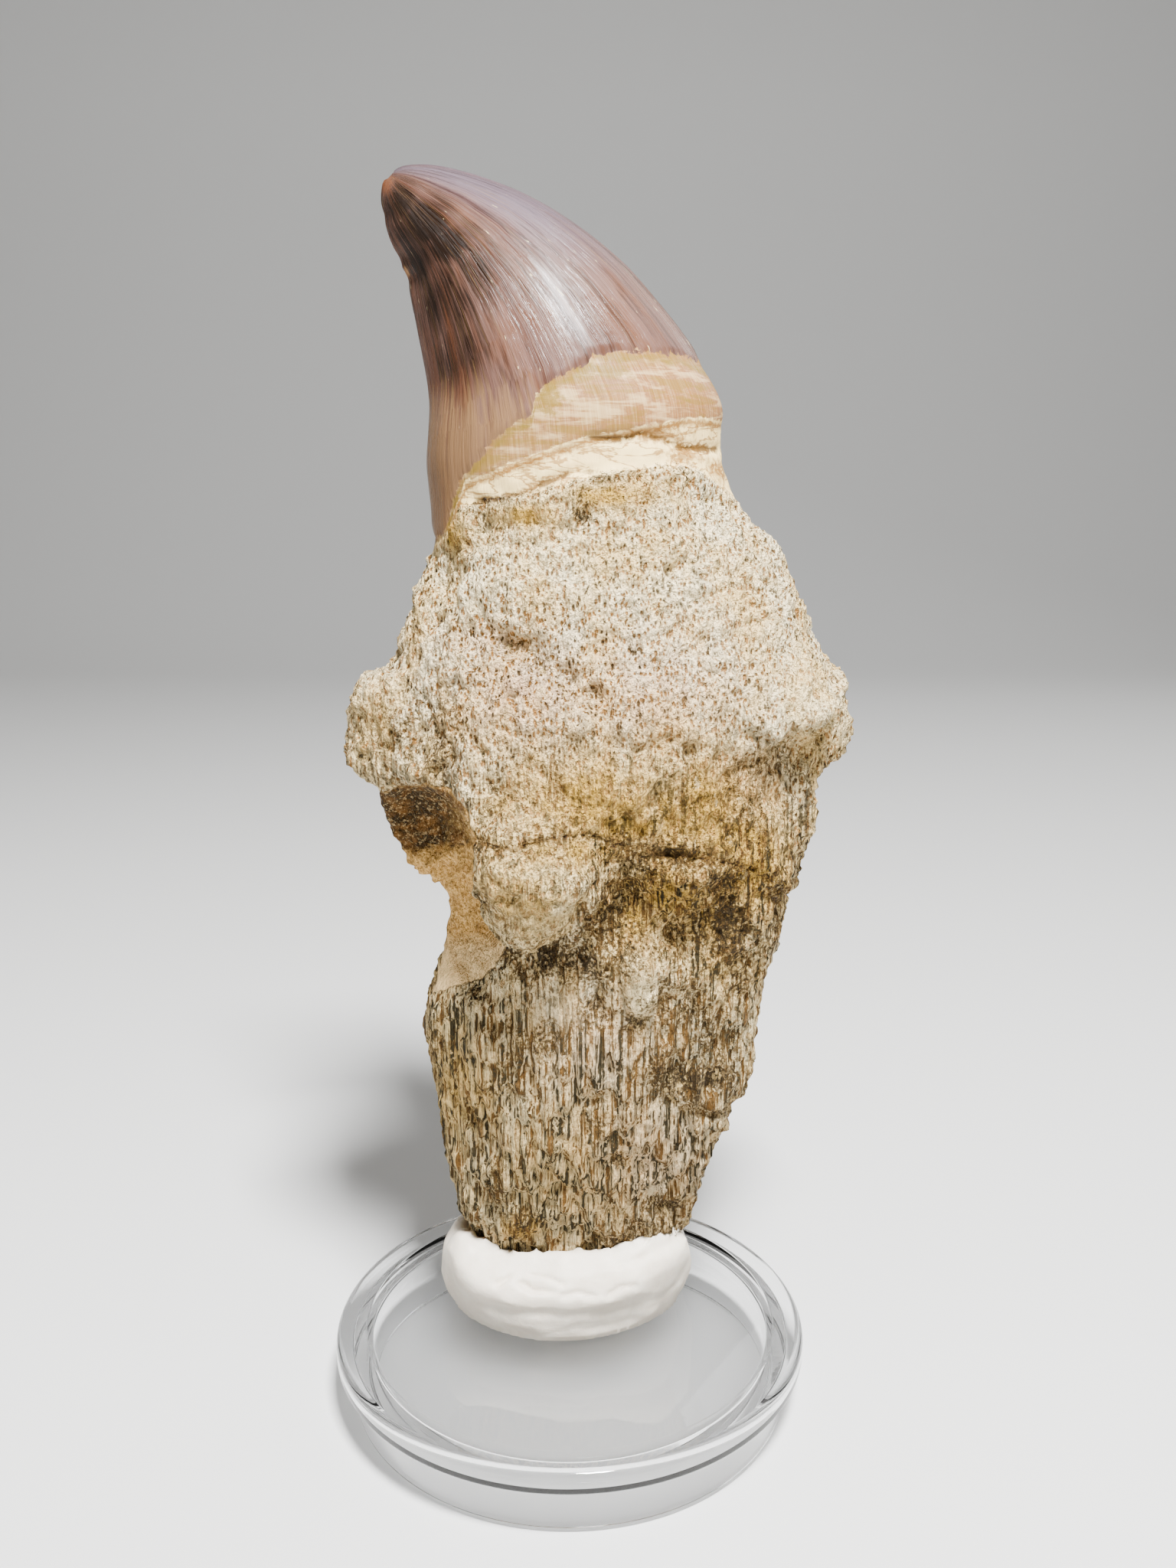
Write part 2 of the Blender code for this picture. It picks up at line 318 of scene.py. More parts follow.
def distance_to_line(places: np.ndarray, line: Sequence[Point]) -> np.ndarray:
    """The shortest distance from each place to an open line.

    Args:
        places: The (x, z) places.
        line: The line's points.

    Returns:
        The distances.
    """
    best = np.full(len(places), np.inf)
    for start, end in zip(line, line[1:]):
        a, way = np.array(start), np.subtract(end, start)
        share = np.clip((places - a) @ way / (way @ way), 0.0, 1.0)
        best = np.minimum(best, np.linalg.norm(places - a - share[:, None] * way, axis=1))
    return best


def depth_inside(places: np.ndarray, outline: Sequence[Point]) -> np.ndarray:
    """How far each place is inside a closed outline, negative outside it.

    Args:
        places: The (x, z) places.
        outline: The outline's corners, in order.

    Returns:
        The signed distances.
    """
    closed = [*outline, outline[0]]
    inside = np.zeros(len(places), bool)
    for (ax, az), (bx, bz) in zip(closed, closed[1:]):
        spans = (az > places[:, 1]) != (bz > places[:, 1])
        reach = ax + (places[:, 1] - az) * (bx - ax) / ((bz - az) or 1e-9)
        inside ^= spans & (places[:, 0] < reach)
    distance = distance_to_line(places, closed)
    return np.where(inside, distance, -distance)


def clouds(points: np.ndarray, size: float, layers: int, seed: float) -> np.ndarray:
    """Cloudy noise, about -1 to 1, at each point.

    Args:
        points: The points, already stretched.
        size: How large its clouds are.
        layers: How many finer layers it has.
        seed: Where in the noise it is taken.

    Returns:
        The noise.
    """
    spots = (points / size + seed).tolist()
    return np.array([noise.fractal(Vector(spot), 0.8, 2.1, layers) for spot in spots])


def patches_amount(patches: Sequence[Patch], places: np.ndarray) -> np.ndarray:
    """The strongest of several soft patches at each place."""
    amounts = []
    for x, z, half_width, half_height, strength in patches:
        off = ((places - (x, z)) / (half_width, half_height)) ** 2
        amounts.append(strength * np.exp(-off.sum(axis=1)))
    return np.max(amounts, axis=0)


class Tools:
    """The steps of modelling by hand that every piece uses."""

    join_gap: float = 0.001

    @staticmethod
    def deselect() -> None:
        """Lets go of everything."""
        bpy.ops.object.select_all(action="DESELECT")

    @classmethod
    def pick(cls, obj: bpy.types.Object) -> None:
        """Selects one object alone and makes it active."""
        cls.deselect()
        obj.select_set(True)
        bpy.context.view_layer.objects.active = obj

    @classmethod
    def copy_node(cls, node: bpy.types.Object, name: str) -> bpy.types.Object:
        """Copies a CAD node into a new piece whose loose triangles are joined.

        Args:
            node: The CAD node's object.
            name: The new piece's name.

        Returns:
            The piece.
        """
        cls.pick(node)
        bpy.ops.object.duplicate()
        piece = bpy.context.view_layer.objects.active
        piece.name = piece.data.name = name
        piece.data.materials.clear()
        cls.pick(piece)
        bpy.ops.object.mode_set(mode="EDIT")
        bpy.ops.mesh.select_all(action="SELECT")
        bpy.ops.mesh.remove_doubles(threshold=cls.join_gap * MM)
        bpy.ops.object.mode_set(mode="OBJECT")
        return piece

    @classmethod
    def apply(cls, obj: bpy.types.Object, kind: str, **settings: object) -> None:
        """Adds a modifier and applies it.

        Args:
            obj: The object.
            kind: The modifier's type.
            settings: Its properties.
        """
        cls.pick(obj)
        bpy.ops.object.modifier_add(type=kind)
        modifier = obj.modifiers[-1]
        for name, value in settings.items():
            setattr(modifier, name, value)
        bpy.ops.object.modifier_apply(modifier=modifier.name)

    @staticmethod
    def smooth(obj: bpy.types.Object) -> None:
        """Shades the whole object smooth."""
        Tools.pick(obj)
        bpy.ops.object.shade_smooth()

    @staticmethod
    def read(obj: bpy.types.Object) -> tuple[np.ndarray, np.ndarray]:
        """The object's vertices in millimetres, and its normals."""
        count = len(obj.data.vertices)
        points, normals = np.empty(count * 3), np.empty(count * 3)
        obj.data.vertices.foreach_get("co", points)
        obj.data.vertices.foreach_get("normal", normals)
        return points.reshape(-1, 3) / MM, normals.reshape(-1, 3)

    @staticmethod
    def write(obj: bpy.types.Object, points: np.ndarray) -> None:
        """Puts the object's vertices at new places, in millimetres."""
        obj.data.vertices.foreach_set("co", (points * MM).ravel())
        obj.data.update()

    @staticmethod
    def keep(obj: bpy.types.Object, name: str, *columns: np.ndarray) -> None:
        """Keeps three numbers for each vertex under a name, for a material to read."""
        stored = obj.data.attributes.new(name, "FLOAT_VECTOR", "POINT")
        stored.data.foreach_set("vector", np.stack(columns, axis=1).astype(np.float32).ravel())


@dataclass
class Viewpoint:
    """Where the photograph was taken from, relative to the base's axis and underside."""

    side: float = 1.94
    back: float = 133.45
    height: float = 96.31
    downward: float = 12.59
    lens: float = 31.64
    sensor: float = 36.0
    tooth_plane: float = 3.5
    near_limit: float = 10.0

    def places(self, points: np.ndarray) -> np.ndarray:
        """Where the camera sees each point on the upright plane through the tooth.

        Args:
            points: The points, relative to the base's axis.

        Returns:
            The (x, z) places.
        """
        share = (self.tooth_plane + self.back) / (points[:, 1] + self.back)
        eye = np.array([self.side, self.height])
        return eye + (points[:, [0, 2]] - eye) * share[:, None]

    def build(self, axis: Vector) -> None:
        """Adds the camera.

        Args:
            axis: The base's axis on the floor, in metres.
        """
        data = bpy.data.cameras.new("camera")
        data.lens = self.lens
        data.sensor_width = self.sensor
        data.clip_start = self.near_limit * MM
        camera = bpy.data.objects.new("camera", data)
        camera.location = axis + Vector((self.side, -self.back, self.height)) * MM
        camera.rotation_euler = (math.radians(90.0 - self.downward), 0.0, 0.0)
        bpy.context.scene.collection.objects.link(camera)
        bpy.context.scene.camera = camera


@dataclass(frozen=True)
class FossilFinish:
    """The tooth's colours: enamel, the bands under it, and bone stained by the ground, with some painted
    shade, highlights and sheen.
    """

    bone_light: Colour = srgb(255, 238, 192)
    bone_warm: Colour = srgb(242, 208, 142)
    bone_low: Colour = srgb(200, 174, 124)
    bone_grey: Colour = srgb(180, 166, 130)
    pore: Colour = srgb(148, 102, 48)
    pore_deep: Colour = srgb(64, 48, 22)
    pore_low: Colour = srgb(94, 64, 24)
    groove: Colour = srgb(42, 36, 18)
    pore_dark: Colour = srgb(46, 30, 16)
    pink: Colour = srgb(214, 168, 138)
    # The two stain colours below paint real stains, and also painted shadow under the ledge and painted
    # shade in the valley's crease
    ochre: Colour = srgb(190, 148, 56)
    stain_and_shade_brown: Colour = srgb(90, 64, 24)
    stain_and_shade: Colour = srgb(34, 26, 12)
    # Pale colour: real pale bone, and also painted highlights on the ledge's top and the knobs' tops
    pale_and_highlight: Colour = srgb(252, 230, 176)
    # The pit's brown, darkened as painted shade
    hollow: Colour = srgb(28, 24, 12)
    hollow_light: Colour = srgb(212, 166, 92)
    hollow_pale: Colour = srgb(240, 204, 144)
    enamel: Colour = srgb(70, 45, 36)
    enamel_pale: Colour = srgb(106, 79, 69)
    enamel_red: Colour = srgb(88, 52, 30)
    # Dark streaks of the enamel, also used for the painted shade on the crown's hollow side
    enamel_streak_and_shade: Colour = srgb(24, 13, 6)
    # Painted sheen: a blue-grey reflection along the crown's back edge
    enamel_painted_sheen: Colour = srgb(84, 80, 94)
    tip: Colour = srgb(104, 62, 38)
    chip: Colour = srgb(196, 146, 92)
    band: Colour = srgb(142, 108, 60)
    foot: Colour = srgb(122, 92, 62)
    band_pale: Colour = srgb(232, 204, 152)
    band_red: Colour = srgb(138, 94, 56)
    band_line: Colour = srgb(120, 96, 34)
    cream: Colour = srgb(248, 218, 150)
    cream_brown: Colour = srgb(136, 92, 36)

    # Sizes of the bone's texture, and how much longer than wide its pores are
    pore_size: float = 0.33
    pore_up: float = 0.42
    grain_size: float = 0.62
    grain_up: float = 0.6
    fibre_size: float = 0.3
    fibre_up: float = 0.025
    strand_size: float = 0.75
    strand_up: float = 0.05
    skin_size: float = 0.16

    # Depths of the relief that is finer than the mesh
    bone_relief: float = 1.25
    skin_relief: float = 0.09
    polish_relief: float = 0.13

    # How rough the polished and the bare surfaces are, and where the bone turns fibrous
    polished: float = 0.17
    worn: float = 0.36
    bare: float = 0.86
    glint: float = 0.6
    fibrous_below: float = 68.0
    fibrous_over: float = 14.0

    def enamel_colour(self, graph: Graph) -> bpy.types.NodeSocket:
        """The crown: streaks that run to the tip, painted shade on its hollow side and a painted blue-grey
        sheen along its back.

        Args:
            graph: The material's graph.

        Returns:
            The colour.
        """
        dark_stain_and_shade, chip, painted_sheen = graph.attribute("crown_shade_chips_sheen")
        tip, lower, _ = graph.attribute("ends")
        broad = graph.noise(2.6, 4.0, 0.6, up=0.06, space=Space.GRAIN)
        fine = graph.noise(0.42, 3.0, 0.65, up=0.06, space=Space.GRAIN)
        blotch = graph.noise(3.2, 5.0, 0.65, up=0.4, space=Space.GRAIN)
        fleck = graph.noise(0.5, 2.0, 0.5, up=0.35, space=Space.GRAIN)
        thread = graph.noise(0.9, 4.0, 0.7, up=0.09, space=Space.GRAIN)
        # Painted shade on the crown's hollow side, broken up by its streaks
        shade = dark_stain_and_shade.ragged(fine, 2.2).ragged(broad, 1.4) * dark_stain_and_shade.step(0.1, 0.2)
        return graph.coats(
            self.enamel,
            (broad.step(0.52, 0.3), self.enamel_pale),
            (fine.step(0.57, 0.2) * 0.55, self.enamel_pale),
            (blotch.step(0.54, 0.16) * 0.7, self.enamel_red),
            # Painted sheen: a blue-grey reflection along the back edge, near the tip
            (painted_sheen * (0.3 + broad * 0.9), self.enamel_painted_sheen),
            (thread.fall(0.44, 0.08) * 0.5, self.enamel_streak_and_shade),
            (shade.step(0.5, 0.6), self.enamel_streak_and_shade),
            (fleck.step(0.75, 0.05) * 0.45, self.pale_and_highlight),
            (tip.ragged(fine, 0.5).step(0.5, 0.6), self.tip),
            (lower.ragged(fine, 2.2).step(0.5, 0.7) * 0.85, self.foot),
            (chip.ragged(fine, 0.6).step(0.5, 0.3), self.chip),
        )

    def band_colour(self, graph: Graph, edge: Value) -> bpy.types.NodeSocket:
        """The glossy olive band under the enamel, with fine upright lines and flaky edges.

        Args:
            graph: The material's graph.
            edge: The height above the enamel's lower edge.

        Returns:
            The colour.
        """
        fine = graph.noise(0.2, 3.0, 0.65, up=0.05, space=Space.GRAIN)
        blotch = graph.noise(2.4, 4.0, 0.6)
        flakes = graph.noise(1.5, 4.0, 0.7, across=0.7, up=1.3)
        waves = graph.noise(1.3, 3.0, 0.6, across=0.22, up=1.5, warp=0.4)
        turn, _, _ = graph.attribute(Space.GRAIN.value)
        _, _, olive = graph.attribute("ends")
        edge_line = (edge + flakes * 1.2).line(0.35, 0.5)
        return graph.coats(
            self.band,
            (blotch.step(0.5, 0.2), self.band_red),
            (turn.step(4.0, 8.0) * 0.8, self.band_red),
            (fine.step(0.55, 0.18) * 0.2, self.band_pale),
            (waves.step(0.56, 0.12) * 0.35, self.band_pale),
            (waves.fall(0.44, 0.05) * 0.55, self.band_line),
            ((waves - 0.5).line(0.012, 0.014) * 0.5, self.foot),
            (olive.ragged(flakes, 2.6).step(0.55, 0.3) * 0.8, self.band_line),
            (edge_line * (flakes.step(0.5, 0.2) * 0.5 + 0.45), self.band_line),
        )

    def cream_colour(self, graph: Graph, edge: Value) -> bpy.types.NodeSocket:
        """The cream band above the root, with brown cracks and patches.

        Args:
            graph: The material's graph.
            edge: The height above the cream band.

        Returns:
            The colour.
        """
        blotch = graph.noise(2.0, 4.0, 0.65, across=0.6, up=1.4)
        fine = graph.noise(0.5, 3.0, 0.65)
        veins = graph.noise(2.6, 4.0, 0.6, across=0.45, up=1.5, warp=0.6)
        _, crack, _ = graph.attribute("forms")
        _, _, brown = graph.attribute("ends")
        return graph.coats(
            self.cream,
            (blotch.step(0.52, 0.2) * 0.6, self.bone_warm),
            ((veins - 0.5).line(0.018, 0.02) * 0.75, self.cream_brown),
            (brown.ragged(fine, 1.4).step(0.5, 0.4) * 0.75, self.cream_brown),
            ((edge + 0.5).ragged(fine, 1.2).line(0.3, 0.5) * 0.85, self.cream_brown),
            (crack.ragged(fine, 0.8).step(0.5, 0.4) * 0.9, self.pore_low),
        )

    def bone_colour(self, graph: Graph, pores: Value, streaks: Value, low: Value) -> bpy.types.NodeSocket:
        """The root: ivory bone full of brown pores, with its stains, painted shadow under the ledge,
        painted shade in the valley's crease and painted highlights on the ledge's and the knobs' tops.

        Args:
            graph: The material's graph.
            pores: Where the fine pores of the upper root are.
            streaks: Where the long pores of the lower root are.
            low: How far down the root, 0 to 1.

        Returns:
            The colour.
        """
        # The first tint holds real stains together with painted shadow under the ledge and painted shade
        # in the valley's crease
        stain_and_shade, ochre, pink = graph.attribute("tints")
        _, crack, pale_and_highlight = graph.attribute("forms")
        broad = graph.noise(4.0, 5.0, 0.65, up=0.5)
        patchy = graph.noise(1.3, 5.0, 0.7, up=0.5)
        speck = graph.noise(0.34, 2.0, 0.6)
        ribs = graph.noise(1.1, 3.0, 0.6, up=0.07)
        low_bone = graph.mix(ribs.step(0.5, 0.16), self.bone_low, self.bone_grey)
        in_pores = graph.mix(patchy.step(0.54, 0.1), self.pore, self.pore_deep)
        in_streaks = graph.mix(ribs.step(0.47, 0.12), self.pore_low, self.groove)
        open_bone = (1.0 - low * 0.6) * (1.0 - ochre.maths("MINIMUM", 1.0) * 0.45) * (1.0 - pale_and_highlight * 0.6)
        fibrous = graph.height().ragged(broad, 30.0).fall(self.fibrous_below, self.fibrous_over)
        open_streaks = (0.36 + fibrous * 0.62) * (1.0 - (pale_and_highlight * 1.8).clamped() * 0.85)
        dark_stain_and_shade = stain_and_shade.ragged(patchy, 2.0).ragged(speck, 2.4) * stain_and_shade.step(0.05, 0.1)
        wide_crack = crack * 1.3
        return graph.coats(
            self.bone_light,
            (broad.step(0.5, 0.24), self.bone_warm),
            (low * 0.9, low_bone),
            ((pink * (patchy * 2.0 - 0.2)).clamped() * 0.85, self.pink),
            ((ochre * (patchy * 1.6 + 0.5)).clamped() * 0.95, self.ochre),
            # Pale patches, with painted highlights on the ledge's top and the knobs' tops
            (pale_and_highlight.ragged(patchy, 1.2).step(0.55, 0.5) * 0.85, self.pale_and_highlight),
            (pores * open_bone, in_pores),
            (streaks * open_streaks, in_streaks),
            # Stains, and the painted shadow under the ledge and in the valley's crease
            (dark_stain_and_shade.step(0.34, 0.4) * 0.75, self.stain_and_shade_brown),
            (dark_stain_and_shade.step(0.66, 0.35) * 0.85, self.stain_and_shade),
            (patchy.step(0.62, 0.06) * dark_stain_and_shade.step(0.3, 0.3) * 0.6, self.bone_warm),
            (wide_crack.ragged(speck, 1.6).step(0.45, 0.5) * 0.75, self.stain_and_shade_brown),
            (wide_crack.ragged(speck, 2.4).step(0.9, 0.4) * 0.9, self.pore_dark),
        )

    def hollow_colour(self, graph: Graph) -> bpy.types.NodeSocket:
        """The wall of the pit and the groove: brown inside the pit and darkened there by painted shade,
        most towards its left, paler further down.

        Args:
            graph: The material's graph.

        Returns:
            The colour.
        """
        _, crack, _ = graph.attribute("forms")
        _, inner, low = graph.attribute("hollows")
        broad = graph.noise(1.8, 4.0, 0.65)
        fine = graph.noise(0.36, 3.0, 0.7)
        speckled = 1.0 - low.step(0.3, 0.3) * 0.6
        return graph.coats(
            self.hollow_light,
            (low.step(0.2, 0.16), self.hollow_pale),
            # Painted shade that darkens the pit, most towards its left
            (inner.ragged(broad, 0.8).step(0.5, 0.4), self.hollow),
            (broad.step(0.54, 0.14) * speckled * 0.5, self.pore),
            (fine.step(0.54, 0.12) * speckled * 0.6, self.pore_low),
            (fine.fall(0.42, 0.1) * 0.35, self.hollow_pale),
            (crack.step(0.5, 0.4) * 0.85, self.pore_dark),
        )

    def build(self) -> bpy.types.Material:
        """Makes the material.

        Returns:
            The material.
        """
        graph = Graph("fossil")
        enamel_edge, band_edge, bone_edge = graph.attribute("lines")
        hollow, _, low = graph.attribute("hollows")
        coarse, crack, _ = graph.attribute("forms")
        torn = graph.noise(1.1, 4.0, 0.6) - 0.5
        tiny = graph.noise(0.4, 2.0) - 0.5
        wander = torn * 1.6 + tiny * 0.6
        in_enamel = (enamel_edge + wander * 1.1).step(0.0, 0.12)
        in_band = (band_edge + wander * 0.7).step(0.0, 0.2)
        in_bone = (bone_edge + wander * 1.2).step(0.0, 0.4)
        in_hollow = (hollow + torn * 0.6).step(0.5, 0.25)
        polished_part = 1.0 - in_bone

        fine_pores = graph.cells(self.pore_size, self.pore_up)
        grains = graph.noise(self.grain_size, 3.0, 0.6, up=self.grain_up)
        large_pores = graph.noise(0.5, 2.0, 0.6, up=self.grain_up)
        fibres = graph.noise(self.fibre_size, 2.0, 0.6, up=self.fibre_up, warp=0.03)
        strands = graph.noise(self.strand_size, 2.0, 0.6, up=self.strand_up)
        pores = fine_pores.ragged(grains, 1.3).fall(0.37, 0.24)
        pores = pores * (1.0 - coarse * 0.5) + large_pores.fall(0.44, 0.08) * coarse * 0.8
        streaks = (fibres * 0.6 + strands * 0.3 + grains * 0.1).fall(0.492, 0.08)
        colour = graph.coats(
            self.band_colour(graph, enamel_edge),
            (in_enamel, self.enamel_colour(graph)),
            (1.0 - in_band, self.cream_colour(graph, band_edge)),
            (in_bone, self.bone_colour(graph, pores, streaks, low)),
            (in_hollow * in_bone, self.hollow_colour(graph)),
        )
        graph.set(Base_Color=colour)

        polish = graph.noise(0.34, 3.0, 0.65, up=0.05, space=Space.GRAIN)
        glossy = self.polished + polish.step(0.5, 0.22) * self.worn
        glints = graph.noise(0.35, 1.0).step(0.62, 0.05) * (0.35 + crack * 0.65)
        dull = self.bare - glints * self.glint
        matt_cream = (1.0 - in_band) * polished_part * 0.2
        graph.set(Roughness=glossy * polished_part + dull * in_bone + matt_cream)
        graph.set(Coat_Weight=in_enamel * 0.08, Coat_Roughness=0.15, Specular_IOR_Level=0.16)

        upper = fine_pores * 0.45 + grains * 1.25 + graph.noise(0.3, 2.0, 0.6) * 0.5
        lower = fibres * 0.8 + strands * 0.6 + grains * 0.35
        relief = (upper * (1.0 - low) + lower * low) * in_bone * (1.0 - in_hollow * 0.5)
        normal = graph.bump(relief, self.bone_relief, 1.0)
        normal = graph.bump(polish * polished_part, self.polish_relief, 0.8, normal)
        skin = graph.noise(self.skin_size, 2.0) * in_bone
        graph.set(Normal=graph.bump(skin, self.skin_relief, 0.8, normal))
        return graph.material


@dataclass
class Survey:
    """What is known of the tooth's vertices before they move."""

    points: np.ndarray
    seen: np.ndarray
    front: np.ndarray
    turn: np.ndarray
    length: np.ndarray
    wander: np.ndarray

    # Heights above the enamel's and the cream band's lower edges, and the depth below the root's top
    enamel: np.ndarray = field(init=False)
    cream: np.ndarray = field(init=False)
    bone: np.ndarray = field(init=False)

    # From 0 to 1: on the root, in the hollows, on rough bone and on the lower root
    in_bone: np.ndarray = field(init=False)
    in_hollow: np.ndarray = field(init=False)
    rough: np.ndarray = field(init=False)
    low: np.ndarray = field(init=False)

    # What keeps a form of the photographed side off the back
    outside: float = 4.0
    out_of_reach: float = 9.0

    @property
    def x(self) -> np.ndarray:
        """The place across, as the camera sees it."""
        return self.seen[:, 0]

    @property
    def height(self) -> np.ndarray:
        """The height, as the camera sees it."""
        return self.seen[:, 1]

    def over(self, front_line: Sequence[Point], back_line: Sequence[Point]) -> np.ndarray:
        """The height above an edge that runs round the tooth.

        Args:
            front_line: The edge on the photographed side.
            back_line: The edge behind.

        Returns:
            The heights.
        """
        near, far = (np.interp(self.x, *zip(*line)) for line in (front_line, back_line))
        return self.height - (near * self.front + far * (1.0 - self.front))

    def inside(self, outline: Sequence[Point]) -> np.ndarray:
        """How far each vertex is inside an outline on the photographed side."""
        return depth_inside(self.seen, outline) * self.front - (1.0 - self.front) * self.outside

    def gap(self, line: Sequence[Point]) -> np.ndarray:
        """How far each vertex is from a line on the photographed side."""
        return distance_to_line(self.seen, line) + (1.0 - self.front) * self.out_of_reach

    def groove(self, line: Sequence[Point], width: float) -> np.ndarray:
        """How near each vertex is to a line on the photographed side, 1 on it and 0 far off."""
        return self.front * bell(distance_to_line(self.seen, line) + 0.35 * self.wander, width)


@dataclass
class Tooth:
    """Crown and root in one piece, sculpted over the CAD's solid."""

    axis: Vector
    view: Viewpoint
    voxel: float = 0.42
    finish: FossilFinish = FossilFinish()

    # The line down the middle of the tooth, from the foot to the tip, as (x, z)
    core: tuple[Point, ...] = (
        (0.0, 5.0), (0.2, 16.0), (2.0, 33.0), (3.5, 46.0), (3.4, 60.0), (3.4, 75.0), (3.3, 88.0),
        (1.3, 95.0), (0.9, 99.0), (0.6, 102.5), (-0.6, 106.3), (-2.6, 110.2), (-5.0, 113.8),
        (-7.6, 117.0), (-10.6, 119.8), (-13.6, 121.9), (-17.4, 124.2),
    )
    foot_middle: float = -0.5
    foot_half_width: float = 11.0
    foot_sag: float = 1.0
    crown_radius: float = 13.0
    core_depth: float = 4.5

    # Heights of the three edges under the crown: first along the front, then along the back
    enamel_front: tuple[Point, ...] = (
        (-13.5, 90.0), (-12.0, 91.0), (-10.6, 95.6), (-9.0, 97.6), (-6.6, 100.1), (-4.5, 101.6),
        (-3.4, 102.1), (-3.1, 103.9), (-1.9, 105.1), (2.0, 106.8), (2.4, 107.6), (6.8, 107.9),
        (10.7, 107.6), (14.0, 106.4),
    )
    enamel_back: tuple[Point, ...] = (
        (-13.5, 90.0), (-12.0, 91.5), (-8.0, 95.4), (-3.0, 99.0), (2.0, 101.8), (8.0, 104.6),
        (14.0, 106.4),
    )
    cream_front: tuple[Point, ...] = (
        (-13.5, 89.5), (-12.0, 90.6), (-10.0, 95.8), (-4.5, 97.9), (2.0, 100.1), (6.9, 100.9),
        (11.8, 101.9), (14.6, 101.6),
    )
    cream_back: tuple[Point, ...] = (
        (-13.5, 89.5), (-12.0, 90.8), (-8.0, 93.6), (-2.0, 96.0), (5.0, 98.4), (10.0, 100.2),
        (14.6, 101.6),
    )
    bone_front: tuple[Point, ...] = (
        (-13.5, 89.0), (-11.7, 90.6), (-10.6, 93.3), (-7.2, 94.3), (-3.3, 94.8), (2.0, 96.3),
        (9.8, 97.4), (12.4, 97.1), (15.5, 94.8), (17.0, 93.8),
    )
    bone_back: tuple[Point, ...] = (
        (-13.5, 89.0), (-11.7, 89.9), (-6.0, 91.6), (2.0, 93.4), (10.0, 94.6), (17.0, 93.8),
    )

    # The old break that runs round the root, and the cracks in the cream band
    break_front: tuple[Point, ...] = (
        (-16.6, 58.9), (-11.3, 59.3), (-9.6, 60.0), (-8.8, 59.5), (-6.8, 58.8), (-5.3, 58.9),
        (-3.0, 59.8), (2.5, 60.3), (5.0, 59.3), (6.8, 58.7), (9.8, 57.5), (15.8, 57.5), (18.9, 56.7),
        (20.7, 55.4), (21.7, 54.0),
    )
    break_back: tuple[Point, ...] = (
        (-17.0, 59.0), (-12.0, 60.5), (-6.0, 58.2), (0.0, 59.6), (7.0, 57.4), (14.0, 58.4),
        (21.7, 54.0),
    )
    break_side: tuple[Point, ...] = ((21.7, 54.0), (21.9, 51.5), (21.3, 48.7))
    cream_cracks: tuple[tuple[Point, ...], ...] = (
        ((2.2, 99.9), (5.8, 99.8), (6.9, 100.3), (9.2, 99.9), (11.0, 99.1), (14.4, 98.9)),
        ((-9.3, 93.8), (-5.6, 94.6), (-3.5, 95.1), (-2.0, 95.8), (0.4, 96.7), (2.7, 96.7)),
    )
    valley: tuple[Point, ...] = ((-9.4, 81.1), (-6.0, 80.4), (-1.2, 77.2), (2.5, 74.5))
    ledge_slot: tuple[Point, ...] = ((-8.1, 55.5), (-8.0, 53.0), (-7.3, 50.1))
    ledge_crevice: tuple[Point, ...] = ((0.2, 54.3), (1.5, 51.7), (2.0, 50.1), (3.8, 47.7), (4.0, 46.1))

    # The lump that hangs over the lower root, the ridge beside it and the lip under the right knob
    ledge: tuple[Point, ...] = (
        (-9.6, 58.4), (-6.8, 58.2), (-3.0, 59.2), (2.5, 59.6), (4.6, 58.4), (5.4, 55.5), (4.2, 53.0),
        (2.7, 50.8), (1.2, 50.6), (-1.3, 48.8), (-4.4, 48.5), (-6.4, 49.8), (-8.4, 52.7), (-9.4, 55.4),
    )
    second_ridge: tuple[Point, ...] = (
        (-3.8, 47.4), (-0.6, 47.8), (1.4, 49.4), (2.8, 50.0), (4.0, 47.6), (3.5, 45.6),
    )
    knob_lip: tuple[Point, ...] = (
        (17.0, 72.6), (18.0, 71.8), (19.5, 70.8), (22.0, 70.1), (24.2, 71.1), (26.1, 72.0),
        (26.8, 73.5), (27.6, 75.5),
    )
    notch: tuple[Point, ...] = ((11.0, 30.6), (14.8, 28.9), (16.5, 29.2), (18.4, 31.0))

    # The smooth hollows on the left: the pit's roof, the whole of them, and the deep pit alone
    pit_roof: tuple[Point, ...] = (
        (-24.0, 64.6), (-19.2, 64.9), (-17.2, 65.3), (-14.2, 65.9), (-12.0, 65.2), (-10.5, 63.4),
        (-9.9, 60.1),
    )
    hollow_outline: tuple[Point, ...] = (
        *pit_roof, (-9.5, 57.7), (-9.3, 54.8), (-7.9, 51.4), (-6.7, 48.5), (-7.8, 46.0), (-9.1, 44.7),
        (-12.0, 43.8), (-16.0, 42.4), (-24.0, 46.0),
    )
    pit_outline: tuple[Point, ...] = (
        *pit_roof, (-10.2, 59.4), (-13.8, 59.0), (-16.6, 58.9), (-24.0, 58.6),
    )
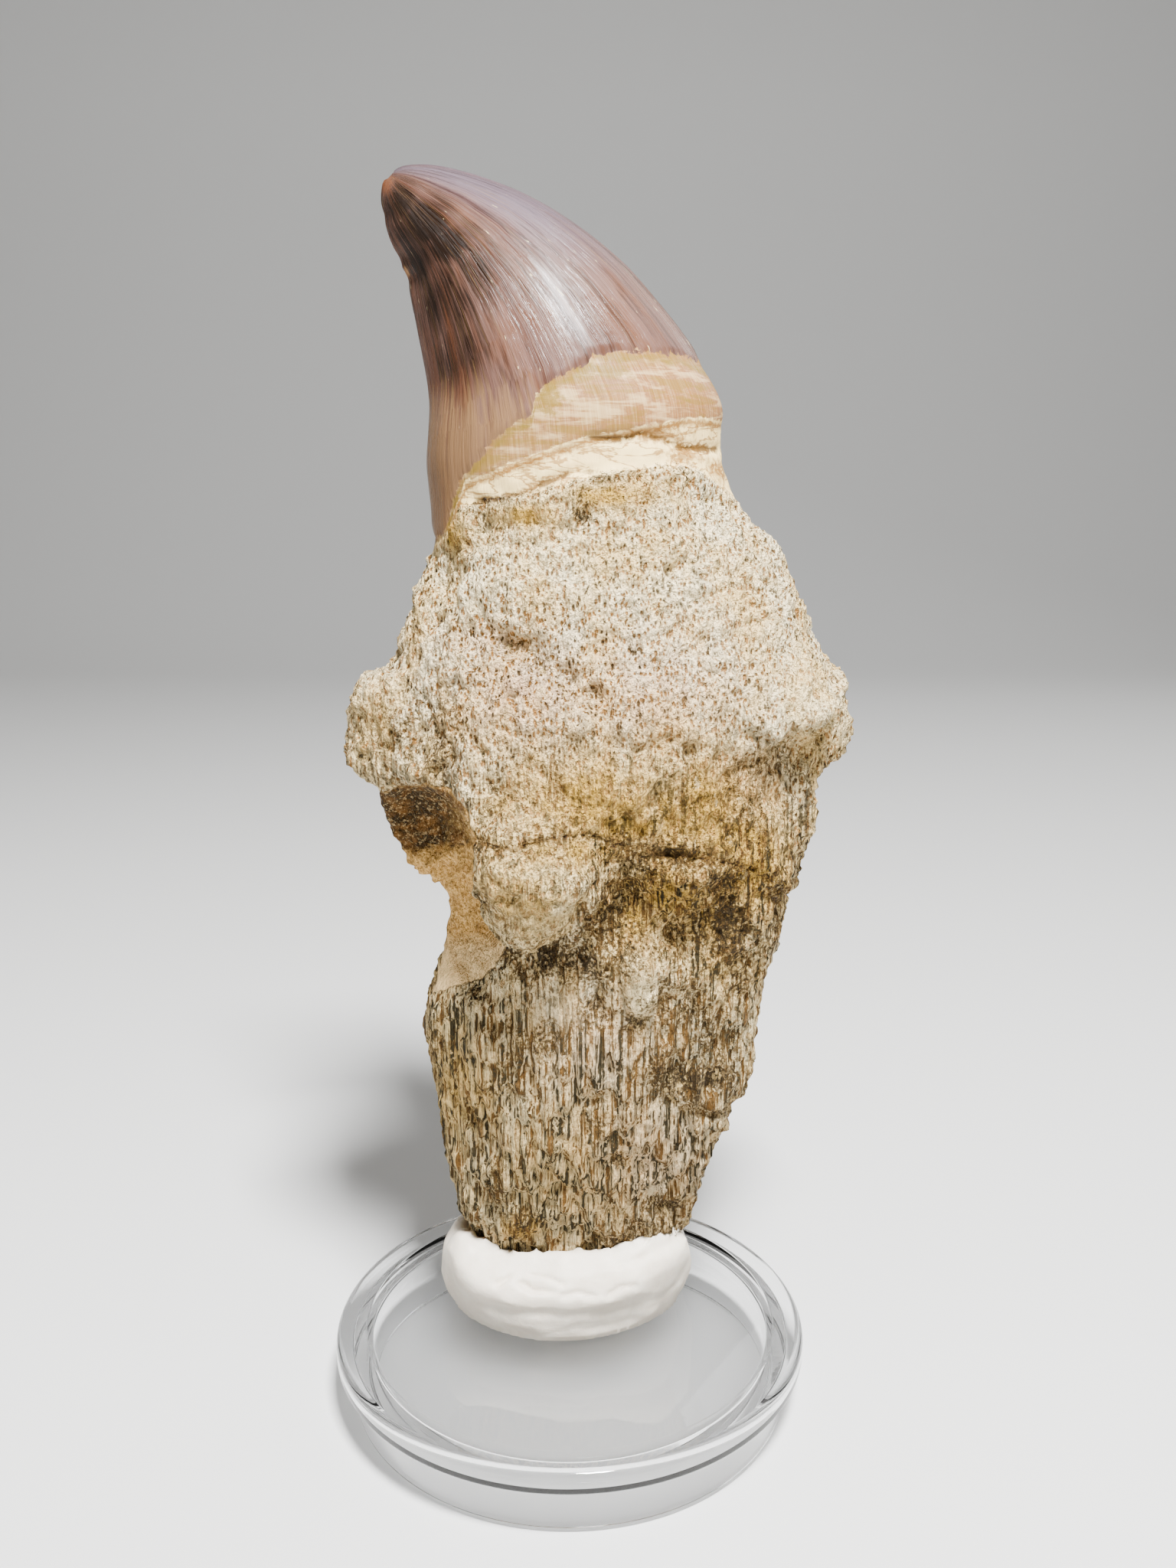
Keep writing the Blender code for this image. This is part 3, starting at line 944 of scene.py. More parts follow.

    # Soft patches of colour: stains in the bone, which also paint shadow under the ledge and shade in the
    # valley's crease, browns of the bands, and painted shade and chips of the crown
    # Real stains, with painted shadow under the ledge, about z 46 to 49, and painted shade along the
    # valley's crease, the last four
    stains_and_shade: tuple[Patch, ...] = (
        (10.4, 58.0, 4.6, 1.7, 0.95), (6.6, 59.8, 2.4, 1.0, 0.5), (6.6, 54.0, 1.6, 1.4, 0.6),
        (11.2, 49.4, 1.4, 2.4, 0.6), (16.0, 55.4, 2.6, 2.0, 0.8), (16.8, 50.0, 2.4, 4.6, 0.9),
        (-6.0, 48.4, 2.4, 2.0, 0.85), (-2.8, 47.0, 3.0, 2.2, 0.85), (1.6, 46.2, 3.4, 2.4, 0.8),
        (9.6, 41.0, 3.0, 5.0, 0.45), (14.6, 38.0, 4.0, 3.4, 0.45), (-6.0, 36.0, 2.4, 5.0, 0.35),
        (-8.0, 20.0, 1.6, 3.6, 0.4), (3.0, 28.0, 2.0, 3.0, 0.3), (9.0, 16.4, 4.0, 1.6, 0.5),
        (8.4, 56.0, 2.4, 1.4, 0.6), (4.2, 51.4, 2.2, 4.4, 0.7), (16.0, 63.0, 5.0, 5.0, 0.25),
        (6.0, 47.6, 3.4, 3.0, 0.55), (-12.8, 70.0, 2.0, 5.0, 0.5), (2.2, 50.6, 1.0, 2.6, 0.7),
        (21.0, 68.6, 2.6, 1.3, 0.35), (18.0, 67.2, 1.8, 1.6, 0.3), (21.4, 54.8, 1.4, 1.3, 0.7),
        (2.9, 41.0, 1.7, 2.2, 0.75), (6.8, 39.9, 1.7, 1.3, 0.75), (9.4, 35.5, 1.8, 3.0, 0.6),
        (13.5, 33.2, 5.0, 2.4, 0.85), (16.4, 33.8, 1.6, 2.6, 0.8), (15.3, 29.6, 2.4, 0.9, 0.7),
        (5.2, 23.9, 0.9, 0.9, 0.7), (14.6, 55.4, 2.4, 1.8, 0.6), (13.6, 50.4, 1.8, 3.4, 0.6),
        (17.4, 44.6, 2.0, 2.4, 0.55), (-5.1, 16.6, 1.5, 1.6, 0.75), (11.0, 18.4, 2.6, 1.1, 0.8),
        (5.5, 14.4, 2.4, 1.0, 0.8), (-3.2, 37.6, 3.2, 2.4, 0.52), (1.3, 92.5, 0.9, 1.0, 0.9),
        (-8.8, 32.2, 1.3, 0.5, 0.65), (-9.2, 59.4, 1.2, 1.4, 0.8), (-13.8, 38.0, 1.0, 2.4, 0.5),
        (-17.5, 70.6, 2.6, 2.8, 0.3), (12.8, 41.0, 2.4, 6.0, 0.5), (-6.0, 80.0, 2.6, 0.9, 0.24),
        (-3.4, 78.4, 1.8, 1.0, 0.26), (-1.0, 76.8, 1.8, 1.0, 0.28), (1.6, 75.0, 1.8, 1.0, 0.26),
    )
    ochres: tuple[Patch, ...] = (
        (3.0, 64.0, 12.0, 6.0, 0.75), (13.0, 63.0, 8.5, 7.5, 0.8), (19.0, 57.0, 5.0, 8.0, 0.85),
        (2.0, 58.5, 11.0, 2.6, 0.7), (10.0, 54.0, 8.0, 5.0, 0.8), (-5.1, 16.0, 2.4, 2.0, 0.8),
        (6.0, 61.0, 5.0, 2.0, 1.0), (17.0, 60.0, 4.0, 3.0, 1.0), (15.0, 51.0, 5.0, 5.0, 0.7),
        (-3.6, 56.4, 5.4, 2.6, 0.6), (-5.0, 64.0, 5.0, 4.0, 0.55), (7.0, 51.0, 4.0, 4.0, 0.75),
        (-10.5, 31.0, 4.0, 6.0, 0.4), (-4.0, 63.0, 4.0, 4.0, 0.5), (16.0, 46.5, 4.0, 3.5, 0.6),
        (-11.0, 91.0, 2.0, 3.0, 0.8), (4.0, 94.4, 5.0, 1.6, 0.8), (-4.0, 92.6, 4.0, 1.6, 0.8),
        (-1.0, 22.0, 9.0, 8.0, 0.3), (-19.5, 70.0, 4.0, 5.0, 0.35), (24.0, 71.0, 3.0, 4.0, 0.3),
        (-12.6, 33.0, 3.0, 9.0, 0.5), (-3.0, 53.6, 4.4, 3.6, 0.7),
    )
    pinks: tuple[Patch, ...] = (
        (-4.0, 75.0, 8.0, 6.0, 0.85), (8.0, 75.0, 9.0, 6.0, 0.75), (-8.0, 80.0, 5.0, 2.5, 0.7),
        (18.0, 66.0, 4.0, 4.0, 0.7), (2.5, 37.0, 6.0, 6.0, 0.4), (8.0, 24.0, 7.0, 7.0, 0.4),
    )
    # Pale bone, with painted highlights on the ledge's top and on the knobs' tops
    pales_and_highlights: tuple[Patch, ...] = (
        (-1.2, 53.6, 1.6, 1.4, 0.6), (-4.6, 51.4, 2.0, 1.0, 0.3), (7.6, 42.8, 1.5, 3.0, 1.1),
        (7.0, 47.0, 1.8, 2.4, 0.6), (0.0, 42.0, 3.5, 2.6, 0.3), (-3.0, 52.6, 3.6, 2.6, 0.45),
        (-7.6, 55.4, 2.4, 1.5, 0.4), (-3.4, 57.0, 4.0, 0.8, 0.5), (-8.4, 51.8, 2.0, 2.6, 0.5),
        (-20.0, 74.0, 3.0, 3.0, 0.2), (24.0, 75.0, 4.0, 3.5, 0.5), (14.0, 84.0, 7.0, 8.0, 0.3),
        (0.0, 88.0, 8.0, 4.0, 0.3),
    )
    brown_cream: tuple[Patch, ...] = (
        (8.6, 100.2, 3.4, 0.9, 0.9), (11.6, 98.4, 2.4, 1.2, 0.8), (14.6, 96.8, 1.6, 1.6, 0.7),
        (0.0, 96.1, 2.8, 0.6, 0.7), (-11.0, 93.0, 1.6, 2.4, 0.6), (3.0, 106.2, 2.8, 1.2, 0.9),
        (-1.6, 103.4, 1.6, 1.8, 0.9), (-4.6, 100.6, 1.6, 1.0, 0.7), (11.6, 104.4, 2.4, 1.0, 0.4),
    )
    # Painted shade on the crown's hollow side, running down from the tip
    painted_crown_shade: tuple[Patch, ...] = (
        (-15.4, 121.0, 1.8, 2.2, 1.0), (-13.4, 119.2, 2.8, 2.4, 1.15), (-11.2, 117.4, 2.6, 2.0, 1.0),
        (-13.8, 116.2, 2.0, 3.0, 0.85), (-11.8, 113.0, 2.2, 4.0, 0.75), (-10.8, 107.0, 2.0, 5.0, 0.6),
        (-8.4, 115.4, 3.0, 3.4, 0.65), (-10.0, 112.0, 2.6, 4.6, 0.6), (-15.2, 115.0, 1.4, 3.4, 0.6),
        (-9.2, 108.0, 2.2, 4.6, 0.55), (-12.4, 120.6, 2.4, 1.5, 0.8), (-9.6, 118.4, 2.6, 1.6, 0.6),
    )
    chips: tuple[Patch, ...] = (
        (-17.2, 120.4, 0.4, 0.9, 1.0), (-15.1, 114.2, 0.45, 1.5, 1.5), (-16.0, 116.8, 0.35, 1.0, 1.0),
        (-14.4, 112.0, 0.3, 1.0, 0.9),
    )
    tip: tuple[Patch, ...] = (
        (-16.9, 123.0, 0.8, 1.1, 1.0),
    )

    # Soft forms: the strength is how far each stands out or goes in
    lumps: tuple[Patch, ...] = (
        (-2.0, 55.0, 5.5, 4.5, 0.5), (7.4, 44.6, 1.8, 3.4, 0.9), (11.6, 54.4, 2.4, 2.4, 0.7),
        (18.4, 52.0, 1.6, 3.0, 0.5), (-10.6, 37.4, 1.4, 1.2, 0.4), (6.0, 66.0, 2.4, 2.4, 0.35),
        (13.6, 66.6, 2.2, 2.6, 0.35), (-6.4, 73.0, 3.0, 2.4, 0.45), (-3.6, 57.6, 4.0, 1.2, 0.35),
        (-9.6, 66.0, 1.8, 5.0, 0.5), (-19.6, 75.6, 2.4, 1.6, 0.4), (-5.6, 77.0, 3.4, 1.8, 0.55),
    )
    dips: tuple[Patch, ...] = (
        (12.0, 57.6, 4.2, 1.0, 0.8), (6.4, 53.8, 1.4, 3.0, 0.6), (16.0, 49.6, 2.0, 4.0, 0.6),
        (10.8, 49.0, 1.2, 2.0, 0.5), (3.2, 41.6, 1.6, 2.4, 0.4), (-9.2, 59.8, 1.0, 1.2, 0.7),
        (-15.2, 71.6, 2.4, 4.6, 1.5), (-13.4, 67.6, 1.8, 2.4, 0.6), (17.6, 67.6, 3.0, 2.2, 0.6),
    )
    nicks: tuple[Patch, ...] = (
        (-16.9, 120.1, 0.8, 0.6, 0.3), (-15.0, 114.4, 1.0, 0.9, 0.5), (-15.8, 116.2, 0.8, 0.7, 0.4),
        (1.3, 92.5, 0.7, 0.7, 0.5), (5.2, 23.9, 0.5, 0.5, 0.6), (-14.6, 99.5, 1.2, 0.8, 0.2),
    )

    # Noises that shape the surface, and how far the fibres and pits are drawn out upwards
    ragged_noise: Noise = (2.2, 2, 57.0)
    grit_noise: Noise = (1.1, 3, 3.0)
    strand_noise: Noise = (1.0, 2, 11.0)
    swell_noise: Noise = (6.0, 3, 23.0)
    pit_noise: Noise = (1.5, 2, 41.0)
    rib_noise: Noise = (1.6, 3, 71.0)
    strand_up: float = 0.07
    pit_up: float = 0.4
    rib_up: float = 0.06

    # Where the sides turn to the back, and where the upper root gives way to the fibrous lower one
    side_depths: Point = (7.0, 2.0)
    lower_root: Point = (54.0, 36.0)
    foot_heights: Point = (17.0, 13.0)

    # How far the bone's texture stands out: on the upper root, then on the lower one
    grit: Point = (0.5, 0.16)
    strands: Point = (0.16, 0.8)
    swell: Point = (0.9, 0.7)
    pits: Point = (0.25, 0.35)

    # The same in the hollows: on their smooth wall, then on the broken shelf between them
    hollow_swell: Point = (0.4, 1.2)
    hollow_grit: Point = (0.12, 0.52)

    # Height or depth and half width of single forms
    crack: Point = (0.6, 0.42)
    cream_crack: Point = (0.4, 0.4)
    slot: Point = (0.6, 0.4)
    valley_groove: Point = (1.3, 1.5)
    ridge: Point = (0.9, 0.8)
    notch_step: Point = (0.5, 0.6)
    rim: Point = (0.1, 0.6)
    keel: Point = (0.3, 0.16)
    ledge_height: float = 1.6
    ledge_slope: Point = (0.9, 4.9)
    under_ledge: float = 1.2
    lip: Point = (0.5, -0.6)
    enamel_step: float = 0.16
    cream_drop: float = 0.12
    enamel_ribs: float = 0.05
    deepest_nick: float = 0.8

    def around(self, points: np.ndarray) -> tuple[np.ndarray, np.ndarray]:
        """Where each point lies round the tooth's middle line and along it.

        Args:
            points: The points, relative to the base's axis.

        Returns:
            The direction from the middle line, as unit vectors, and the length along the line.
        """
        flat = points[:, [0, 2]]
        best = np.full(len(points), np.inf)
        across, length = np.zeros(len(points)), np.zeros(len(points))
        run = 0.0
        for start, end in zip(self.core, self.core[1:]):
            way = np.subtract(end, start)
            size = float(np.linalg.norm(way))
            share = np.clip((flat - start) @ way / size**2, 0.0, 1.0)
            off = flat - start - share[:, None] * way
            nearer = (distance := np.linalg.norm(off, axis=1)) < best
            best = np.where(nearer, distance, best)
            across = np.where(nearer, off @ np.array([way[1], -way[0]]) / size, across)
            length = np.where(nearer, run + share * size, length)
            run += size
        turn = np.stack([across, points[:, 1] - self.core_depth], axis=1)
        turn /= np.maximum(np.linalg.norm(turn, axis=1), 0.2)[:, None]
        return turn, length

    def survey(self, points: np.ndarray) -> Survey:
        """Finds where each vertex lies on the tooth.

        Args:
            points: The points, relative to the base's axis.

        Returns:
            What the sculpting and the finish need of them.
        """
        turn, length = self.around(points)
        seen, front = self.view.places(points), ramp(points[:, 1], *self.side_depths)
        spot = Survey(points, seen, front, turn, length, clouds(points, *self.ragged_noise))
        spot.enamel = spot.over(self.enamel_front, self.enamel_back)
        spot.cream = spot.over(self.cream_front, self.cream_back)
        spot.bone = -spot.over(self.bone_front, self.bone_back)
        spot.in_bone = ramp(spot.bone, 0.0, 0.8)
        spot.in_hollow = ramp(spot.inside(self.hollow_outline), -0.5, 0.5)
        spot.rough = spot.in_bone * (1.0 - 0.8 * spot.in_hollow)
        spot.low = ramp(spot.height, *self.lower_root)
        return spot

    def texture(self, spot: Survey) -> np.ndarray:
        """The grit, fibres, swellings and pits of the bone.

        Args:
            spot: The vertices.

        Returns:
            How far each moves outwards.
        """
        points = spot.points
        grit = clouds(points, *self.grit_noise)
        strands = clouds(points * (1.0, 1.0, self.strand_up), *self.strand_noise)
        swell = clouds(points, *self.swell_noise)
        pits = clouds(points * (1.0, 1.0, self.pit_up), *self.pit_noise)
        pits = ramp(pits, 0.2, 0.35)
        layers = ((self.grit, grit), (self.strands, strands), (self.swell, swell), (self.pits, -pits))
        move = spot.rough * sum(blend(sizes, spot.low) * layer for sizes, layer in layers)
        shelf = ramp(spot.height, 59.4, 58.6) * ramp(spot.height, 54.6, 55.8) * ramp(spot.x, -9.5, -10.5)
        wall = blend(self.hollow_swell, shelf) * swell + blend(self.hollow_grit, shelf) * grit
        return move + spot.in_bone * spot.in_hollow * wall

    def cracks(self, spot: Survey) -> tuple[np.ndarray, np.ndarray, np.ndarray]:
        """How deep each vertex is in a crack.

        Args:
            spot: The vertices.

        Returns:
            The break round the root, the cracks in the cream band and the slots beside the ledge.
        """
        broken = np.abs(spot.over(self.break_front, self.break_back))
        broken = np.minimum(broken, spot.gap(self.break_side))
        crack = bell(broken + 0.8 * spot.wander, self.crack[1])
        crack *= 0.76 + 0.4 * np.tanh(3.0 * spot.wander)
        crack *= blend((0.93, 1.0), ramp(spot.x, 1.0, 5.0))
        crack = np.clip(crack, 0.0, 1.0) * spot.in_bone
        gaps = [spot.gap(line) + 0.3 * spot.wander for line in self.cream_cracks]
        thin = np.max([bell(gap, self.cream_crack[1]) for gap in gaps], axis=0)
        slot, crevice = (spot.groove(line, self.slot[1]) for line in (self.ledge_slot, self.ledge_crevice))
        slots = np.maximum(slot, 0.7 * crevice)
        return crack, thin, slots

    def ledges(self, spot: Survey) -> np.ndarray:
        """The ledge lump, the ridge, valley and notch, and the lip under the right knob.

        Args:
            spot: The vertices.

        Returns:
            How far each moves outwards.
        """
        ledge = depth_inside(spot.seen, self.ledge)
        torn = ledge + 0.5 * spot.wander
        slope = blend(self.ledge_slope, ramp(spot.x, -4.0, 1.0))
        lump = self.ledge_height * ramp(torn, 0.0, slope) * ramp(spot.height, 60.0, 55.0)
        under = ramp(ledge, -4.0, -0.6) * ramp(torn, 0.0, -0.4) * ramp(spot.height, 57.0, 53.0)
        patches = patches_amount(self.lumps, spot.seen) - patches_amount(self.dips, spot.seen)
        move = spot.front * spot.rough * (lump - self.under_ledge * under + patches)
        move += spot.rough * self.ridge[0] * spot.groove(self.second_ridge, self.ridge[1])
        move -= self.valley_groove[0] * spot.groove(self.valley, self.valley_groove[1])

        over_lip = spot.height - np.interp(spot.x, *zip(*self.knob_lip))
        near_lip = ramp(spot.x, 16.0, 19.0) * ramp(np.abs(over_lip), 3.0, 0.0)
        lip = near_lip * np.where(over_lip > 0, *self.lip) * ramp(np.abs(over_lip), 0.0, 0.5)
        notch = self.notch_step[0] * bell(distance_to_line(spot.seen, self.notch), self.notch_step[1])
        return move + spot.front * spot.in_bone * (lip - notch)

    def bands(self, spot: Survey) -> np.ndarray:
        """The low steps between the bands, and the crown's keel, ribs and nicks.

        Args:
            spot: The vertices.

        Returns:
            How far each moves outwards.
        """
        move = self.enamel_step * ramp(spot.enamel + 0.5 * spot.wander, 0.0, 0.35)
        in_cream = ramp(spot.bone, 0.0, -0.5) * ramp(spot.cream, 0.0, -0.5)
        move -= self.cream_drop * in_cream * (1.0 + 2.0 * spot.wander)
        move += self.rim[0] * bell(spot.bone - 0.7 + 0.5 * spot.wander, self.rim[1])
        keel = bell(spot.turn[:, 1], self.keel[1]) * ramp(spot.enamel, 0.0, 1.5)
        move += self.keel[0] * keel * ramp(spot.length, 139.0, 129.0)
        grain = np.stack([*(spot.turn * self.crown_radius).T, spot.length * self.rib_up], axis=1)
        move += self.enamel_ribs * clouds(grain, *self.rib_noise) * ramp(spot.cream, 0.0, 0.6)
        return move - spot.front * np.minimum(patches_amount(self.nicks, spot.seen), self.deepest_nick)

    def sculpt(self, points: np.ndarray, normals: np.ndarray, piece: bpy.types.Object) -> np.ndarray:
        """Moves the surface: ledges, cracks, edges, pores and fibres, and keeps what the finish reads.

        Args:
            points: The points, relative to the base's axis.
            normals: Their normals.
            piece: The tooth.

        Returns:
            The moved points.
        """
        spot = self.survey(points)
        crack, thin, slots = self.cracks(spot)
        move = self.texture(spot) + self.ledges(spot) + self.bands(spot)
        move -= self.crack[0] * crack * (1.0 - 0.5 * spot.in_hollow)
        move -= self.cream_crack[0] * thin + self.slot[0] * slots
        self.keep_finish(piece, spot, np.max([crack, 0.9 * thin, 0.6 * slots], axis=0))
        moved = points + normals * move[:, None]
        across = np.clip((spot.x - self.foot_middle) / self.foot_half_width, -1.0, 1.0)
        in_foot = (1.0 - across**2) * spot.front * ramp(points[:, 2], *self.foot_heights)
        moved[:, 2] -= self.foot_sag * in_foot
        return moved

    def keep_finish(self, piece: bpy.types.Object, spot: Survey, cracks: np.ndarray) -> None:
        """Keeps the edges, tints and grain that the finish reads, among them painted shade, highlights and
        sheen.

        Args:
            piece: The tooth.
            spot: Its vertices.
            cracks: How deep each is in a crack.
        """
        x, height, seen, front = spot.x, spot.height, spot.seen, spot.front
        Tools.keep(piece, "lines", spot.enamel, spot.cream, spot.bone)
        Tools.keep(piece, Space.GRAIN.value, *(spot.turn * self.crown_radius).T, spot.length)

        mirrored = seen * (-0.9, 1.0) + (3.0, 1.5)
        tints = []
        # The stains carry painted shadow under the ledge and painted shade in the valley's crease as well
        for patches in (self.stains_and_shade, self.ochres, self.pinks):
            near, far = patches_amount(patches, seen), 0.75 * patches_amount(patches, mirrored)
            tints.append(near * front + far * (1.0 - front))
        Tools.keep(piece, "tints", *tints)

        # Painted shade in the pit, deepest at its left
        shaded = np.clip(0.6 + (-11.0 - x) / 14.0, 0.55, 1.0)
        painted_pit_shade = ramp(spot.inside(self.pit_outline), -0.6, 0.6) * shaded
        Tools.keep(piece, "hollows", spot.in_hollow * spot.in_bone, painted_pit_shade, spot.low)
        coarse = ramp(x, -10.0, -15.0) * ramp(height, 58.0, 64.0) * ramp(height, 86.0, 76.0)
        # The pale patches hold painted highlights on the ledge's top and the knobs' tops too
        Tools.keep(piece, "forms", coarse, cracks, front * patches_amount(self.pales_and_highlights, seen))

        # Painted shade on the crown's hollow side, weaker round the back, and a painted sheen along the
        # back edge near the tip
        dark_stain_and_shade = blend((0.35, 1.0), front) * patches_amount(self.painted_crown_shade, seen)
        painted_sheen_edge = 0.8 * ramp(spot.turn[:, 0], 0.1, 0.8) * ramp(height, 113.0, 121.0)
        Tools.keep(piece, "crown_shade_chips_sheen", dark_stain_and_shade, front * patches_amount(self.chips, seen), painted_sheen_edge)
        foot = 0.9 * ramp(height, 107.5, 99.5) * ramp(x, 1.0, -6.0)
        tip, brown = patches_amount(self.tip, seen), front * patches_amount(self.brown_cream, seen)
        Tools.keep(piece, "ends", tip, foot, brown)

    def build(self, node: bpy.types.Object) -> bpy.types.Object:
        """Copies the CAD's tooth and sculpts and dresses it.

        Args:
            node: The CAD's tooth.

        Returns:
            The piece.
        """
        piece = Tools.copy_node(node, "fossil_tooth")
        Tools.apply(piece, "SUBSURF", levels=1, render_levels=1)
        Tools.apply(piece, "REMESH", mode="VOXEL", voxel_size=self.voxel * MM)
        Tools.apply(piece, "SMOOTH", factor=0.5, iterations=8)
        points, normals = Tools.read(piece)
        centre = np.array(self.axis) / MM
        moved = self.sculpt(points - centre, normals, piece)
        Tools.write(piece, moved + centre)
        Tools.smooth(piece)
        piece.data.materials.append(self.finish.build())
        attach(piece, "root")
        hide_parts("tooth")
        return piece


@dataclass(frozen=True)
class PuttyFinish:
    """Warm white putty with a soft skin."""

    body: Colour = srgb(246, 236, 218)
    shaded: Colour = srgb(214, 198, 178)
    gloss: float = 0.42
    skin_relief: float = 0.12
    grain_relief: float = 0.03
    glow: float = 0.12
    glow_reach: float = 1.5

    def build(self) -> bpy.types.Material:
        """Makes the material.

        Returns:
            The material.
        """
        graph = Graph("putty")
        broad = graph.noise(3.5, 3.0)
        skin = graph.noise(0.9, 4.0, 0.6)
        fine = graph.noise(0.25, 3.0, 0.6)
        graph.set(Base_Color=graph.mix(broad.step(0.55, 0.4) * 0.6, self.body, self.shaded))
        graph.set(Roughness=self.gloss + skin * 0.2, Subsurface_Weight=self.glow)
        graph.set(Subsurface_Scale=self.glow_reach * MM, Subsurface_Radius=(1.0, 0.8, 0.6))
        normal = graph.bump(skin, self.skin_relief, 0.6)
        graph.set(Normal=graph.bump(fine, self.grain_relief, 0.5, normal))
        return graph.material


@dataclass
class Putty:
    """The lump that the root is pressed into."""

    axis: Vector
    view: Viewpoint
    finish: PuttyFinish = PuttyFinish()
    voxel: float = 0.32
    window_height: float = 7.2
    contact: float = 0.55
    contact_gap: float = 0.01
    grip: float = 0.9
    grip_fade: float = 0.3
    middle_x: float = -1.6
    middle_y: float = 4.4
    half_width: float = 13.9
    flatten: float = 0.06
    round_corners: float = 0.34
    corner_rise: float = 1.9
    middle_drop: float = 0.8
    swell: float = 0.5
    ripple: float = 0.06
    swell_noise: Noise = (6.0, 2, 5.0)
    ripple_noise: Noise = (1.2, 2, 9.0)
    fold_lip: float = 0.35

    # Heights and depths over which a change comes in, from none of it to all of it
    body_heights: Point = (13.5, 10.5)
    rim_heights: Point = (11.0, 13.5)
    rim_depths: Point = (4.0, 0.0)
    front_depths: Point = (4.0, 1.0)
    skin_heights: Point = (7.4, 8.6)

    # Folds and nicks in the putty's front, each with its depth and width
    folds: tuple[tuple[tuple[Point, ...], float, float], ...] = (
        (((-8.0, 8.9), (-6.9, 9.8)), 0.45, 0.3),
        (((-5.5, 9.0), (-4.2, 8.1), (-2.4, 7.9)), 0.45, 0.3),
        (((-0.6, 7.5), (0.8, 7.9), (2.6, 7.4)), 0.3, 0.35),
        (((4.4, 7.5), (5.6, 8.5), (7.2, 8.6)), 0.3, 0.4),
        (((-4.3, 10.1), (-2.9, 9.9), (-0.9, 8.9)), 0.35, 0.28),
        (((-7.4, 13.3), (-6.8, 12.7)), 0.35, 0.25),
        (((5.4, 11.4), (8.0, 12.2), (10.4, 13.6)), 0.15, 0.6),
    )

    def settle(self, local: np.ndarray) -> np.ndarray:
        """Flattens the front, rounds its corners and lifts the rim at both ends.

        Args:
            local: The points, relative to the base's axis.

        Returns:
            The moved points.
        """
        settled = local.copy()
        depth, height = local[:, 1], local[:, 2]
        ahead = np.minimum(depth - self.middle_y, 0.0)
        sideways = np.clip((local[:, 0] - self.middle_x) / self.half_width, -1.0, 1.0)
        squeeze = self.flatten + self.round_corners * sideways**2
        settled[:, 1] -= ahead * squeeze * ramp(height, *self.body_heights)
        rise = self.corner_rise * ramp(np.abs(sideways), 0.35, 0.85)
        rise -= self.middle_drop * (1.0 - sideways**2)
        settled[:, 2] += rise * ramp(depth, *self.rim_depths) * ramp(height, *self.rim_heights)
        return settled

    def fold(self, local: np.ndarray) -> np.ndarray:
        """The swellings, ripples and folds of the skin.

        Args:
            local: The points, relative to the base's axis.

        Returns:
            How far each moves outwards.
        """
        seen, front = self.view.places(local), ramp(local[:, 1], *self.front_depths)
        move = self.swell * clouds(local, *self.swell_noise)
        move += self.ripple * clouds(local, *self.ripple_noise)
        for line, depth, width in self.folds:
            gap = distance_to_line(seen, line)
            below = ramp(np.interp(seen[:, 0], *zip(*sorted(line))) - seen[:, 1], 0.0, 0.4)
            lip = self.fold_lip * below * bell(gap - 2.0 * width, 2.0 * width)
            move += front * depth * (lip - bell(gap, width))
        return move * ramp(local[:, 2], *self.skin_heights)

    def build(self, node: bpy.types.Object, tooth: bpy.types.Object) -> bpy.types.Object:
        """Copies the CAD's putty, presses it to its neighbours and folds its skin.

        Args:
            node: The CAD's putty.
            tooth: The finished tooth, which it grips.

        Returns:
            The piece.
        """
        piece = Tools.copy_node(node, "putty_lump")
        Tools.apply(piece, "REMESH", mode="VOXEL", voxel_size=self.voxel * MM)
        Tools.apply(piece, "SMOOTH", factor=0.5, iterations=6)
        points, normals = Tools.read(piece)
        centre = np.array(self.axis) / MM
        local = self.settle(points - centre)

        surface = BVHTree.FromObject(tooth, bpy.context.evaluated_depsgraph_get())
        away, nearest = np.empty(len(local)), np.empty((len(local), 3))
        for i, point in enumerate((local + centre) * MM):
            place, _, _, distance = surface.find_nearest(Vector(point))
            nearest[i], away[i] = np.array(place) / MM - centre, distance / MM
        pressed = ramp(away, self.grip, self.grip - self.grip_fade)

        moved = local + normals * (self.fold(local) * (1.0 - pressed))[:, None]
        moved += (nearest - moved) * pressed[:, None]
        moved[local[:, 2] < self.window_height + self.contact, 2] = self.window_height + self.contact_gap
        Tools.write(piece, moved + centre)
        Tools.smooth(piece)
        piece.data.materials.append(self.finish.build())
        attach(piece, "root")
        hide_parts("putty")
        return piece


@dataclass(frozen=True)
class ClearPlasticFinish:
    """Clear, colourless moulded plastic with light handling marks."""

    tint: Colour = (0.985, 0.99, 0.995)
    ior: float = 1.49
    polish: float = 0.012
    haze: float = 0.06
    relief: float = 0.008

    def build(self) -> bpy.types.Material:
        """Makes the material.

        Returns:
            The material.
        """
        graph = Graph("clear_plastic")
        marks = graph.noise(1.6, 5.0, 0.7)
        fine = graph.noise(0.35, 2.0)
        graph.set(Base_Color=self.tint, IOR=self.ior, Transmission_Weight=1.0)
        graph.set(Roughness=marks.step(0.66, 0.12) * self.haze + self.polish)
        graph.set(Normal=graph.bump(marks * 0.7 + fine * 0.3, self.relief, 0.35))
        return graph.material


